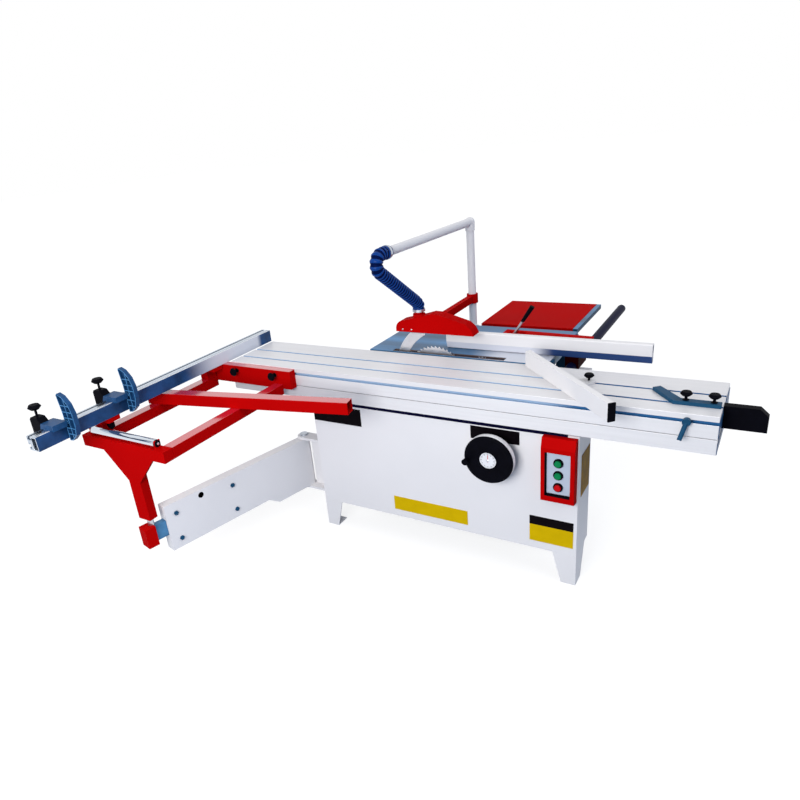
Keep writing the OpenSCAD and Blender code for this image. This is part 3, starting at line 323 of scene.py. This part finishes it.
def dress_nodes():
    """Each CAD node takes its slot's finish and softly broken edges."""
    left_sharp = {"dust_hose", "saw_blade", "scoring_blade", "drive_belt", "roller_cage"}
    for part in frame["record"]["subparts"]:
        name = part["node"]
        node = nodes[name]
        node.data.materials.clear()
        node.data.materials.append(LOOKS[NODE_LOOKS.get(name, part["material_slot"])])
        if name not in left_sharp:
            break_edges(node, EDGE)


def second_finish(name, look, rule):
    """Faces of a node whose middle, in millimetres, meets the rule take another finish."""
    node = nodes[name]
    index = len(node.data.materials)
    node.data.materials.append(LOOKS[look])
    for polygon in node.data.polygons:
        middle = node.matrix_world @ polygon.center
        if rule(middle.x / MM, (middle.y - FRONT) / MM, middle.z / MM):
            polygon.material_index = index


def dress_details():
    """Bolts, grips, caps and faces of painted shade, highlight, sheen and reflection that are one solid with
    a piece of another finish.
    """
    second_finish("rip_lever", "steel", lambda x, y, z: z < LEVER_GRIP_Z)
    # The carrier's faces under the fence and at its front take painted shade
    second_finish("rip_carrier", "red_painted_shade", lambda x, y, z: z < RIP_BOTTOM or y < CARRIER_FRONT + ON_FACE)
    # The rip fence's underside takes painted reflection over the tables and painted shade beyond them
    second_finish("rip_fence", "undercut", lambda x, y, z: y < RIP_FACE_BACK and z < RIP_FACE_LOW)
    second_finish("mitre_fence", "black_plastic", lambda x, y, z: mitre_u(x, y) > MITRE_CAP_U)
    second_finish("mitre_bracket", "anodised", lambda x, y, z: z < MITRE_PLATE_TOP)
    second_finish("clamp_knobs", "steel", lambda x, y, z: z < STUD_TOP and y > TABLE_KNOB_Y)
    second_finish("control_plate", "black_plastic", lambda x, y, z: y < CONTROL_PLATE_Y - ON_FACE)
    # The walls of the control box's window take black as painted shade
    second_finish("control_box", "black_plastic", in_box_window)
    second_finish("outrigger_beam", "steel", lambda x, y, z: z < FOOT_PIN_Z)
    # The top of the strip beside the extension table takes the lighter table finish as a painted highlight
    second_finish("table_brackets", "cast_table", on_trim)
    # The fence's face takes a painted reflection
    second_finish("crosscut_fence", "fence_face_painted_reflection", lambda x, y, z: x > FENCE_FACE_X - ON_FACE)
    # The inner faces of the clamping slots take painted shade
    second_finish("carriage", "slot_painted_shade", in_groove)
    # The inside of the swing arm's box takes black as painted shade
    second_finish("swing_arm", "black_plastic", inside_arm)
    second_finish("handwheel", "anodised", lambda x, y, z: y > RIM_BACK_Y and wheel_radius(x, z) > RIM_R)
    second_finish("handwheel", "steel", lambda x, y, z: y > WHEEL_SHAFT_Y)
    second_finish("hinge_brackets", "steel", lambda x, y, z: z > HINGE_NUT_Z)
    for stop in ("stop_1", "stop_2"):
        near = (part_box(f"{stop}_flap")[0].y - FRONT) / MM
        # The flaps' front faces take a painted highlight
        second_finish(f"{stop}_flap", "stop_casting_painted_highlight", lambda x, y, z, near=near: y < near + ON_FACE)
        second_finish(f"{stop}_block", "stop_casting", lambda x, y, z: x > STOP_BLOCK_X)
    # The top of the main table takes a painted sheen
    finish_top("main_table", "table_top_painted_sheen")
    # The tops of the red tubes take a glossier finish with a painted sheen
    for name in ("outrigger_rails", "outrigger_bar", "cross_bar"):
        finish_top(name, "glossy_red_painted_sheen")


def finish_top(name, look):
    """The top face of a node takes another finish."""
    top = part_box(name)[1].z / MM
    second_finish(name, look, lambda x, y, z: z > top - ON_FACE)


def wheel_radius(x, z):
    """Distance from the handwheel's axis."""
    return math.hypot(x - WHEEL[0], z - WHEEL[2])


def on_trim(x, y, z):
    """Whether a place is on the top of the strip beside the extension table, lighter than its sides as a
    painted highlight.
    """
    return x > TRIM_X and y > EXTENSION_Y and z > TRIM_TOP


def in_groove(x, y, z):
    """Whether a place is inside one of the sliding table's clamping slots."""
    in_top_slot = any(abs(y - slot_y) < GROOVE_HALF for slot_y in SLOT_YS)
    on_top = in_top_slot and SKIN < TABLE_TOP - z < GROOVE_DEEP
    in_front = abs(z - FRONT_SLOT_Z) < GROOVE_HALF and SKIN < y - CARRIAGE_FRONT < GROOVE_DEEP
    return on_top or in_front


def inside_arm(x, y, z):
    """Whether a place is on the inside of the swing arm's box, which takes black as painted shade."""
    wall = 2.0
    length = math.hypot(*ARM_WAY)
    across = ((x - ARM_PIVOT[0]) * ARM_WAY[1] - (y - ARM_PIVOT[1]) * ARM_WAY[0]) / length
    out = ((x - ARM_PIVOT[0]) * ARM_WAY[0] + (y - ARM_PIVOT[1]) * ARM_WAY[1]) / length
    between_sides = abs(across) < ARM_HALF - ON_FACE and ARM_START < out < ARM_END - ON_FACE
    return between_sides and ARM_Z[0] + wall < z < ARM_Z[1] - wall


def in_box_window(x, y, z):
    """Whether a place is on the walls of the control box's window, which take black as painted shade."""
    margin = 1.0
    within_x = BOX_WINDOW_X[0] - margin < x < BOX_WINDOW_X[1] + margin
    within_z = BOX_WINDOW_Z[0] - margin < z < BOX_WINDOW_Z[1] + margin
    return y > BOX_FACE_Y and within_x and within_z


def mitre_u(x, y):
    """Distance along the mitre fence from its pivot."""
    return (x - MITRE_PIVOT[0]) * math.cos(MITRE_TURN) + (y - MITRE_PIVOT[1]) * math.sin(MITRE_TURN)


def break_edges(obj, width):
    """Small bevels on the sharp edges of a solid whose flat faces are first made whole."""
    weld = obj.modifiers.new("weld", "WELD")
    weld.merge_threshold = 1e-5
    merge = obj.modifiers.new("flat", "DECIMATE")
    merge.decimate_type = "DISSOLVE"
    merge.angle_limit = math.radians(0.5)
    merge.delimit = {"MATERIAL"}
    bevel = obj.modifiers.new("edges", "BEVEL")
    bevel.width = width
    bevel.segments = 2
    bevel.limit_method = "ANGLE"
    bevel.angle_limit = math.radians(40)
    normals = obj.modifiers.new("normals", "WEIGHTED_NORMAL")
    normals.keep_sharp = True


# Shapes for the pieces that the solids leave out
def mesh_piece(name, verts, faces, mat, body, smooth=True):
    """A new piece that rides a body, and takes one of the part's slots where it has one."""
    data = bpy.data.meshes.new(name)
    data.from_pydata([tuple(v) for v in verts], [], faces)
    data.validate()
    data.update()
    if smooth:
        for polygon in data.polygons:
            polygon.use_smooth = True
        data.set_sharp_from_angle(angle=math.radians(35))
    data.materials.append(mat)
    obj = bpy.data.objects.new(name, data)
    bpy.context.scene.collection.objects.link(obj)
    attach(obj, body)
    return obj


BLOCK_FACES = [(0, 1, 3, 2), (4, 6, 7, 5), (0, 4, 5, 1), (2, 3, 7, 6), (0, 2, 6, 4), (1, 5, 7, 3)]


def corners(low, high):
    """The eight corners of a block, in the order that BLOCK_FACES expects."""
    xs, ys, zs = zip(low, high)
    return [Vector((x, y, z)) for x in xs for y in ys for z in zs]


def block(name, low, high, mat, body, edge=BLOCK_EDGE):
    """A box between two corners, with its edges broken."""
    obj = mesh_piece(name, corners(low, high), BLOCK_FACES, mat, body, smooth=False)
    if edge:
        bevel = obj.modifiers.new("edges", "BEVEL")
        bevel.width = edge
        bevel.segments = 2
    return obj


def turned(name, origin, axis, profile, mat, body, sides=48):
    """A turned piece: profile is (radius, height) along the axis, closed at its ends."""
    axis = Vector(axis).normalized()
    side = axis.orthogonal().normalized()
    up = axis.cross(side)
    verts, faces = [], []
    for radius, height in profile:
        for k in range(sides):
            a = 2 * math.pi * k / sides
            verts.append(origin + axis * height + (side * math.cos(a) + up * math.sin(a)) * radius)
    for j in range(len(profile) - 1):
        for k in range(sides):
            a, b = j * sides + k, j * sides + (k + 1) % sides
            faces.append((a, b, b + sides, a + sides))
    faces.append(tuple(reversed(range(sides))))
    faces.append(tuple(range((len(profile) - 1) * sides, len(profile) * sides)))
    return mesh_piece(name, verts, faces, mat, body)


def joined(name, boxes, mat, body):
    """Many small plain blocks as one piece."""
    verts, faces = [], []
    for low, high in boxes:
        start = len(verts)
        verts += corners(low, high)
        faces += [tuple(start + i for i in face) for face in BLOCK_FACES]
    return mesh_piece(name, verts, faces, mat, body, smooth=False)


def bolt(name, place, axis, radius, body):
    """Hexagon head on a washer."""
    head = radius * 0.9
    washer_r, washer_t = radius * 1.5, 1.5 * MM
    turned(name + "_washer", place, axis, [(washer_r, 0), (washer_r, washer_t)],
           LOOKS["steel"], body)
    turned(name, place, axis, [(radius, 0), (radius, head * 0.85), (radius * 0.9, head)],
           LOOKS["steel"], body, sides=6)


# Dust hose: the route repeats the one in the part's source
BOOM_END = (-206.0, 80.0)
BOOM_Z = 1380.0
BOOM_WAY = Vector((-46.0, -782.0)).normalized()
ALONG_BOOM = (-30, 0, 12)
BEND_R = 38.0
BEND_X = -208.0
BEND_Y = 46.0
# Angles in degrees at which the bend starts and ends, and the step between its points
BEND_IN, BEND_OUT, BEND_STEP = 90, 234, 36
SLANT_STEPS = 14
SPIGOT = (-213.0, 358.0, 1069.0)
# Where the slant ends and how the hose turns into the hood, measured from the spigot
SLANT_END = (1, -56, 60)
TURN_DOWN = ((0, -35, 47), (0, -15, 32), (0, 0, 14), (0, 0, 0), (0, 0, -14))
HOSE_R = 29 * MM
HOSE_BORE = 21.1 * MM
RIB_DEPTH = 4.5 * MM
HOSE_RIBS = 30
RIB_STEPS = 8
VALLEY_STEPS = (0, 1, RIB_STEPS - 2, RIB_STEPS - 1)
HOSE_SIDES = 32
FINE_STEPS = 2000
CLAMP_HALF = 6 * MM
CLAMP_GAP = 0.4 * MM
CLAMP_T = 1 * MM
# Rings of the hose, counted from its ends, that the clamps sit on
CLAMP_RINGS = (("clamp_boom", 8), ("clamp_hood", -4))


def bend_point(degrees):
    """Point of the bend under the boom's end."""
    a = math.radians(degrees)
    return Vector((BEND_X, BEND_Y + BEND_R * math.cos(a), BOOM_Z - BEND_R + BEND_R * math.sin(a)))


def hose_route():
    """Along the boom, round a tight bend, and slanting down to the hood."""
    spigot = Vector(SPIGOT)
    boom = Vector((*BOOM_END, BOOM_Z))
    along = [boom + d * BOOM_WAY.to_3d() for d in ALONG_BOOM]
    bend = [bend_point(a) for a in range(BEND_IN, BEND_OUT, BEND_STEP)]
    start = bend_point(BEND_OUT)
    end = spigot + Vector(SLANT_END)
    slant = [start.lerp(end, i / SLANT_STEPS) for i in range(SLANT_STEPS + 1)]
    turn = [spigot + Vector(offset) for offset in TURN_DOWN]
    return [at(*p) for p in along + bend + slant + turn]


def spline_at(points, s):
    """Point of the smooth line through the route, s from 0 to 1."""
    last = len(points) - 1
    u = s * last
    i = min(last - 1, int(u))
    t = u - i
    p0, p1, p2, p3 = (points[max(0, min(last, i + k))] for k in (-1, 0, 1, 2))
    return 0.5 * (2 * p1 + (p2 - p0) * t + (2 * p0 - 5 * p1 + 4 * p2 - p3) * t * t
                  + (3 * p1 - p0 - 3 * p2 + p3) * t ** 3)


def evenly_spaced(line, count):
    """As many points as asked, at even steps along a fine line."""
    reach = [0.0]
    for p, q in zip(line, line[1:]):
        reach.append(reach[-1] + (q - p).length)
    points, i = [], 0
    for k in range(count):
        goal = reach[-1] * k / (count - 1)
        while i < len(line) - 2 and reach[i + 1] < goal:
            i += 1
        points.append(line[i].lerp(line[i + 1], (goal - reach[i]) / (reach[i + 1] - reach[i])))
    return points


def hose_ring(path, j, radius):
    """Points round the hose's middle line at one of its steps."""
    tangent = (path[min(len(path) - 1, j + 1)] - path[max(0, j - 1)]).normalized()
    side = tangent.cross(Vector((1, 0, 0))).normalized()
    up = side.cross(tangent)
    angles = [2 * math.pi * k / HOSE_SIDES for k in range(HOSE_SIDES)]
    return [path[j] + (side * math.cos(a) + up * math.sin(a)) * radius for a in angles]


def rib_radius(j):
    """Outer radius of the hose at one of its steps."""
    rise = 0.5 - 0.5 * math.cos(2 * math.pi * j / RIB_STEPS)
    return HOSE_R - RIB_DEPTH * (1 - rise)


def hose_faces(rings):
    """The outer skin, the bore and the rings that join them at the ends."""
    sides = HOSE_SIDES
    inner = rings * sides
    faces = []
    for j in range(rings - 1):
        for k in range(sides):
            a, b = j * sides + k, j * sides + (k + 1) % sides
            faces.append((a, a + sides, b + sides, b))
            faces.append((inner + a, inner + b, inner + b + sides, inner + a + sides))
    for j in (0, rings - 1):
        for k in range(sides):
            a, b = j * sides + k, j * sides + (k + 1) % sides
            end = (a, b, inner + b, inner + a)
            faces.append(end if j == 0 else tuple(reversed(end)))
    return faces


def add_hose():
    """The ribbed hose in place of the solid one; returns its middle line."""
    route = hose_route()
    rings = HOSE_RIBS * RIB_STEPS + 1
    path = evenly_spaced([spline_at(route, j / FINE_STEPS) for j in range(FINE_STEPS + 1)], rings)
    verts = [v for j in range(rings) for v in hose_ring(path, j, rib_radius(j))]
    verts += [v for j in range(rings) for v in hose_ring(path, j, HOSE_BORE)]
    hose = mesh_piece("hose", verts, hose_faces(rings), LOOKS["blue_hose"], "base")
    # The valleys between the ribs take painted shade
    hose.data.materials.append(LOOKS["hose_valley_painted_shade"])
    for i, polygon in enumerate(hose.data.polygons):
        step = i // (2 * HOSE_SIDES) % RIB_STEPS
        polygon.material_index = int(step in VALLEY_STEPS)
    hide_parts("dust_hose")
    return path


def add_hose_clamps(path):
    """Steel bands over the hose's two ends."""
    inner = HOSE_R + CLAMP_GAP
    outer = inner + CLAMP_T
    profile = [(inner, -CLAMP_HALF), (outer, -CLAMP_HALF), (outer, CLAMP_HALF), (inner, CLAMP_HALF)]
    for name, ring in CLAMP_RINGS:
        j = ring % len(path)
        axis = (path[j + 1] - path[j - 1]).normalized()
        turned(name, path[j], axis, profile, LOOKS["steel"], "base")


# Cabinet front
PLATE_T = 1.4
# Bare plates, and dark pieces of painted shade, on the front: left, right, bottom and top
FRONT_PLATES = {
    "plate_dial": (183, 396, 625, 684, BLACK_PLATE),
    # Black plate where the front lies in shade under the rail's left end: painted shade
    "plate_left_painted_shade": (-632, -364, 593, 679, BLACK_PLATE),
    # Dark strip along the gap under the guide rail: painted shade
    "rail_gap_painted_shade": (-634, 590, 689.5, 704, RAIL_GAP_SHADE),
    "plate_name": (-223, 153, 183, 255, YELLOW),
    "plate_lower_top": (437, 621, 264, 306, BLACK_PLATE),
    "plate_lower": (437, 621, 183, 264, YELLOW),
}
SIDE_PLATE_Y = (40, 160)
SIDE_PLATE_Z = (412, 600)
PLATE_SCREW_XS = (525, 603)
PLATE_SCREW_ZS = (449, 621)
PLATE_SCREW = [(3.4 * MM, 0), (2.8 * MM, 1.4 * MM), (1.2 * MM, 1.9 * MM)]


def add_plates():
    """Bare plates on the cabinet, dark pieces of painted shade on its front, and the screws of the button
    plate.
    """
    for name, (x0, x1, z0, z1, mat) in FRONT_PLATES.items():
        block(name, at(x0, -PLATE_T, z0), at(x1, 0, z1), mat, "base", edge=PLATE_EDGE)
    block("plate_side", at(CABINET_SIDE_X, SIDE_PLATE_Y[0], SIDE_PLATE_Z[0]),
          at(CABINET_SIDE_X + PLATE_T, SIDE_PLATE_Y[1], SIDE_PLATE_Z[1]), BROWN_PLATE, "base",
          edge=PLATE_EDGE)
    for i, x in enumerate(PLATE_SCREW_XS):
        for j, z in enumerate(PLATE_SCREW_ZS):
            turned(f"plate_screw_{i}_{j}", at(x, CONTROL_PLATE_Y, z), (0, -1, 0), PLATE_SCREW,
                   LOOKS["steel"], "base", sides=16)


DIAL_R = 35.5
DIAL_BACK_Y = -79.8
DIAL_FACE_Y = -81.2
TICKS = 36
TICK_H = 0.4
TICK_END = 32
# Where a tick starts and half its width
LONG_TICK = (25, 0.7)
SHORT_TICK = (28, 0.4)
POINTER_HALF = 1.2
POINTER_T = 1.0
POINTER_Z = (-8, 24)
DIAL_HUB = [(5 * MM, 0), (5 * MM, 2 * MM), (3.5 * MM, 3 * MM)]


def dial_tick(i, middle):
    """Corners of one radial tick; every third is longer and wider."""
    start, half = LONG_TICK if i % 3 == 0 else SHORT_TICK
    a = 2 * math.pi * i / TICKS
    out = Vector((math.cos(a), 0, math.sin(a)))
    across = Vector((-math.sin(a), 0, math.cos(a)))
    ends = ((start, -1), (TICK_END, -1), (TICK_END, 1), (start, 1))
    outline = [(out * r + across * s * half) * MM for r, s in ends]
    front = middle - Vector((0, TICK_H * MM, 0))
    return [middle + p for p in outline] + [front + p for p in outline]


def add_dial():
    """Scale in the middle of the handwheel, with ticks and a red pointer."""
    x, _, z = WHEEL
    middle = at(x, DIAL_FACE_Y, z)
    forward = (0, -1, 0)
    turned("dial", at(x, DIAL_BACK_Y, z), forward, [(DIAL_R * MM, 0), (DIAL_R * MM, PLATE_T * MM)],
           WHITE_PLATE, "handwheel")
    tick_faces = [(0, 1, 2, 3), (7, 6, 5, 4), (0, 4, 5, 1), (1, 5, 6, 2), (2, 6, 7, 3), (3, 7, 4, 0)]
    verts, faces = [], []
    for i in range(TICKS):
        faces += [tuple(len(verts) + k for k in face) for face in tick_faces]
        verts += dial_tick(i, middle)
    mesh_piece("dial_ticks", verts, faces, INK, "handwheel", smooth=False)
    block("dial_pointer", at(x - POINTER_HALF, DIAL_FACE_Y - POINTER_T, z + POINTER_Z[0]),
          at(x + POINTER_HALF, DIAL_FACE_Y, z + POINTER_Z[1]), LOOKS["red_plastic"], "handwheel",
          edge=STRIP_EDGE)
    turned("dial_hub", middle, forward, DIAL_HUB, LOOKS["steel"], "handwheel")


HINGE_BOLT_X = -647
HINGE_BOLT_R = 7 * MM
HINGE_BOLT_YS = (38, 82)
HINGE_BOLT_ZS = (145, 202, 430, 490)
HOOD_FACE_Y = 325
HOOD_RIVETS = ((-289, 973), (-242, 974))
RIVET = [(4 * MM, 0), (3.4 * MM, 1.2 * MM), (1.5 * MM, 2 * MM)]


def add_fasteners():
    """Bolts of the hinge plates, rivets of the hood."""
    for i, z in enumerate(HINGE_BOLT_ZS):
        for j, y in enumerate(HINGE_BOLT_YS):
            bolt(f"hinge_bolt_{i}_{j}", at(HINGE_BOLT_X, y, z), (-1, 0, 0), HINGE_BOLT_R, "base")
    for i, (x, z) in enumerate(HOOD_RIVETS):
        turned(f"hood_rivet_{i}", at(x, HOOD_FACE_Y, z), (0, -1, 0), RIVET, LOOKS["steel"], "base",
               sides=20)


INSERT_X = (-364.5, 203.5)
INSERT_YS = {"insert_front": (340.4, 350), "insert_rear": (366, 377.6)}
INSERT_Z = (850.5, 854.6)


def add_table_insert():
    """Two strips that close the blade slot to the width of the blades."""
    for name, (y0, y1) in INSERT_YS.items():
        block(name, at(INSERT_X[0], y0, INSERT_Z[0]), at(INSERT_X[1], y1, INSERT_Z[1]), INSERT, "base",
              edge=STRIP_EDGE)


END_PLATE_T = 2
# Front, back, bottom and top of the end plates, and the bodies they ride
END_PLATES = {"table_end": (-17, 316, 772, 839, "carriage"), "rail_end": (-16, 315, 712, 750, "base")}


def add_end_plates():
    """Plates that close the ends of the sliding table and of its guide rail."""
    for side, tag in ((-1, "left"), (1, "right")):
        x0, x1 = sorted((side * CARRIAGE_END, side * (CARRIAGE_END + END_PLATE_T)))
        for name, (y0, y1, z0, z1, body) in END_PLATES.items():
            block(f"{name}_{tag}", at(x0, y0, z0), at(x1, y1, z1), LOOKS["stop_casting"], body)


FENCE_KNOB = (-1175, -740, 806)
KNOB_PROFILE = [(5 * MM, 0), (5 * MM, 14 * MM), (11 * MM, 15 * MM), (15 * MM, 22 * MM), (15 * MM, 28 * MM),
                (9 * MM, 31 * MM)]


def add_fence_knob():
    """Knob that clamps the outer fence block to its rail."""
    turned("fence_knob", at(*FENCE_KNOB), (1, 0, 0), KNOB_PROFILE, LOOKS["black_plastic"], "carriage",
           sides=24)


CAP_HALF = 1.5 * MM
RULE_MARGIN = 20 * MM
RULE_PITCH = 10 * MM
RULE_IN = 1.5 * MM
RULE_W = 6.5 * MM
RULE_T = 0.4 * MM
TICK_TOP = 0.6 * MM
TICK_W = 0.8 * MM
LONG_EVERY = 5
LONG_DEPTH = 5 * MM
SHORT_DEPTH = 3 * MM


def add_fence_scale():
    """Cap on the far end of the crosscut fence and the ticks of its rule."""
    low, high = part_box("crosscut_fence")
    block("fence_cap", Vector((low.x, high.y - CAP_HALF, low.z)), Vector((high.x, high.y + CAP_HALF, high.z)),
          LOOKS["stop_casting"], "carriage")
    edge_x = high.x - RULE_IN
    block("fence_rule", Vector((edge_x - RULE_W, low.y + RULE_MARGIN, high.z)),
          Vector((edge_x, high.y - RULE_MARGIN, high.z + RULE_T)), WHITE_PLATE, "carriage", edge=0)
    first = low.y + RULE_MARGIN + RULE_PITCH
    count = int((high.y - low.y - 2 * (RULE_MARGIN + RULE_PITCH)) / RULE_PITCH)
    ticks = []
    for i in range(count):
        y = first + i * RULE_PITCH
        depth = LONG_DEPTH if i % LONG_EVERY == 0 else SHORT_DEPTH
        ticks.append(((edge_x - depth, y, high.z), (edge_x, y + TICK_W, high.z + TICK_TOP)))
    joined("fence_ticks", ticks, INK, "carriage")


BAR_CAP = [(22 * MM, 0), (22 * MM, 3 * MM), (18 * MM, 6 * MM)]
ROLLER_CAP = [(15 * MM, 0), (15 * MM, 9 * MM), (11 * MM, 12 * MM)]
ROLLER_CAP_IN = 13.5 * MM


def add_caps():
    """Plastic caps of the guide bar and the roller."""
    low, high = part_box("fence_bar")
    middle = (low + high) / 2
    for name, y, way in (("bar_cap_near", low.y, -1), ("bar_cap_far", high.y, 1)):
        turned(name, Vector((middle.x, y, middle.z)), (0, way, 0), BAR_CAP, LOOKS["black_plastic"], "base")
    low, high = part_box("support_roller")
    middle = (low + high) / 2
    turned("roller_cap", Vector((high.x - ROLLER_CAP_IN, middle.y, middle.z)), (1, 0, 0), ROLLER_CAP,
           LOOKS["black_plastic"], "support_roller")


# Stage and light
def shows_background(tree):
    """1 for the rays that show the background: from the camera, off a gloss or through glass."""
    rays = tree.nodes.new("ShaderNodeLightPath")
    total = rays.outputs["Is Camera Ray"]
    for kind in ("Is Glossy Ray", "Is Transmission Ray"):
        total = combined(tree, "MAXIMUM", total, rays.outputs[kind])
    return total


def seen_or_lit(tree, lit, seen, output):
    """One shader for the rays that show the background and another for those that light the machine."""
    mix = tree.nodes.new("ShaderNodeMixShader")
    tree.links.new(shows_background(tree), mix.inputs["Fac"])
    tree.links.new(lit, mix.inputs[1])
    tree.links.new(seen, mix.inputs[2])
    tree.links.new(mix.outputs["Shader"], tree.nodes[output].inputs["Surface"])


FLOOR_HALF = 40.0


def floor_material():
    """White where it is seen, apart from the shadow, and dim as a light."""
    mat, tree, bsdf = new_material("floor")
    drift = noise(tree, 1.5)
    tree.links.new(ramp(tree, drift, (0.08, 0.13, 0.22), (0.09, 0.14, 0.23)), bsdf.inputs["Base Color"])
    bsdf.inputs["Roughness"].default_value = 0.8
    seen = tree.nodes.new("ShaderNodeBsdfDiffuse")
    seen.inputs["Color"].default_value = (0.30, 0.30, 0.30, 1)
    glow = tree.nodes.new("ShaderNodeEmission")
    glow.inputs["Strength"].default_value = 0.78
    bright = tree.nodes.new("ShaderNodeAddShader")
    tree.links.new(seen.outputs["BSDF"], bright.inputs[0])
    tree.links.new(glow.outputs["Emission"], bright.inputs[1])
    seen_or_lit(tree, bsdf.outputs["BSDF"], bright.outputs["Shader"], "Material Output")
    return mat


def add_floor():
    """Floor that the shadow falls on."""
    verts = [(-FLOOR_HALF, -FLOOR_HALF, 0), (FLOOR_HALF, -FLOOR_HALF, 0),
             (FLOOR_HALF, FLOOR_HALF, 0), (-FLOOR_HALF, FLOOR_HALF, 0)]
    data = bpy.data.meshes.new("floor")
    data.from_pydata(verts, [], [(0, 1, 2, 3)])
    data.materials.append(floor_material())
    floor = bpy.data.objects.new("floor", data)
    bpy.context.scene.collection.objects.link(floor)


def sky_ramp(tree, way, start, end):
    """Colours of the sky along one of its directions, the second from 0.55 on."""
    node = tree.nodes.new("ShaderNodeValToRGB")
    node.color_ramp.elements[0].color = (*start, 1)
    node.color_ramp.elements[1].color = (*end, 1)
    node.color_ramp.elements[1].position = 0.55
    tree.links.new(way, node.inputs["Fac"])
    return node.outputs["Color"]


def add_surround():
    """White where it is seen; as a light, bright overhead and blue from the right."""
    world = bpy.data.worlds.new("studio")
    bpy.context.scene.world = world
    world.use_nodes = True
    tree = world.node_tree
    light = tree.nodes["Background"]
    light.inputs["Strength"].default_value = 0.76
    coords = tree.nodes.new("ShaderNodeTexCoord")
    split = tree.nodes.new("ShaderNodeSeparateXYZ")
    tree.links.new(coords.outputs["Generated"], split.inputs["Vector"])
    both = tree.nodes.new("ShaderNodeMixRGB")
    both.blend_type = "MULTIPLY"
    both.inputs["Fac"].default_value = 1.0
    overhead = sky_ramp(tree, split.outputs["Z"], (0.42, 0.52, 0.70), (1.0, 1.0, 1.0))
    sideways = sky_ramp(tree, split.outputs["X"], (1.0, 1.0, 1.0), (0.04, 0.13, 0.31))
    tree.links.new(overhead, both.inputs["Color1"])
    tree.links.new(sideways, both.inputs["Color2"])
    tree.links.new(both.outputs["Color"], light.inputs["Color"])
    white = tree.nodes.new("ShaderNodeBackground")
    white.inputs["Color"].default_value = (1, 1, 1, 1)
    white.inputs["Strength"].default_value = 1.0
    seen_or_lit(tree, light.outputs["Background"], white.outputs["Background"], "World Output")


def add_sun(name, way, power, spread_deg):
    """Soft light from one side of the sky; way points towards it."""
    data = bpy.data.lights.new(name, "SUN")
    data.energy = power
    data.angle = math.radians(spread_deg)
    lamp = bpy.data.objects.new(name, data)
    lamp.rotation_euler = Vector(way).to_track_quat("Z", "Y").to_euler()
    bpy.context.scene.collection.objects.link(lamp)


def add_panel(name, place, target, size, power):
    """Soft box that stands near the machine."""
    data = bpy.data.lights.new(name, "AREA")
    data.shape = "RECTANGLE"
    data.size, data.size_y = size
    data.energy = power
    lamp = bpy.data.objects.new(name, data)
    lamp.location = place
    lamp.rotation_euler = (target - place).to_track_quat("-Z", "Y").to_euler()
    bpy.context.scene.collection.objects.link(lamp)


def add_lights():
    """A soft box in front of the machine and a broad soft light from above on the right."""
    add_panel("key", place=at(200, -3050, 1800), target=at(-100, 80, 600), size=(1.6, 1.6), power=91)
    add_sun("top", way=(0.65, 0.0, 0.76), power=1.35, spread_deg=50)


add_camera()
hose_path = add_hose()
dress_nodes()
dress_details()
add_hose_clamps(hose_path)
add_plates()
add_dial()
add_fasteners()
add_table_insert()
add_end_plates()
add_fence_knob()
add_fence_scale()
add_caps()
add_floor()
add_surround()
add_lights()
bpy.context.scene.view_settings.view_transform = "Standard"
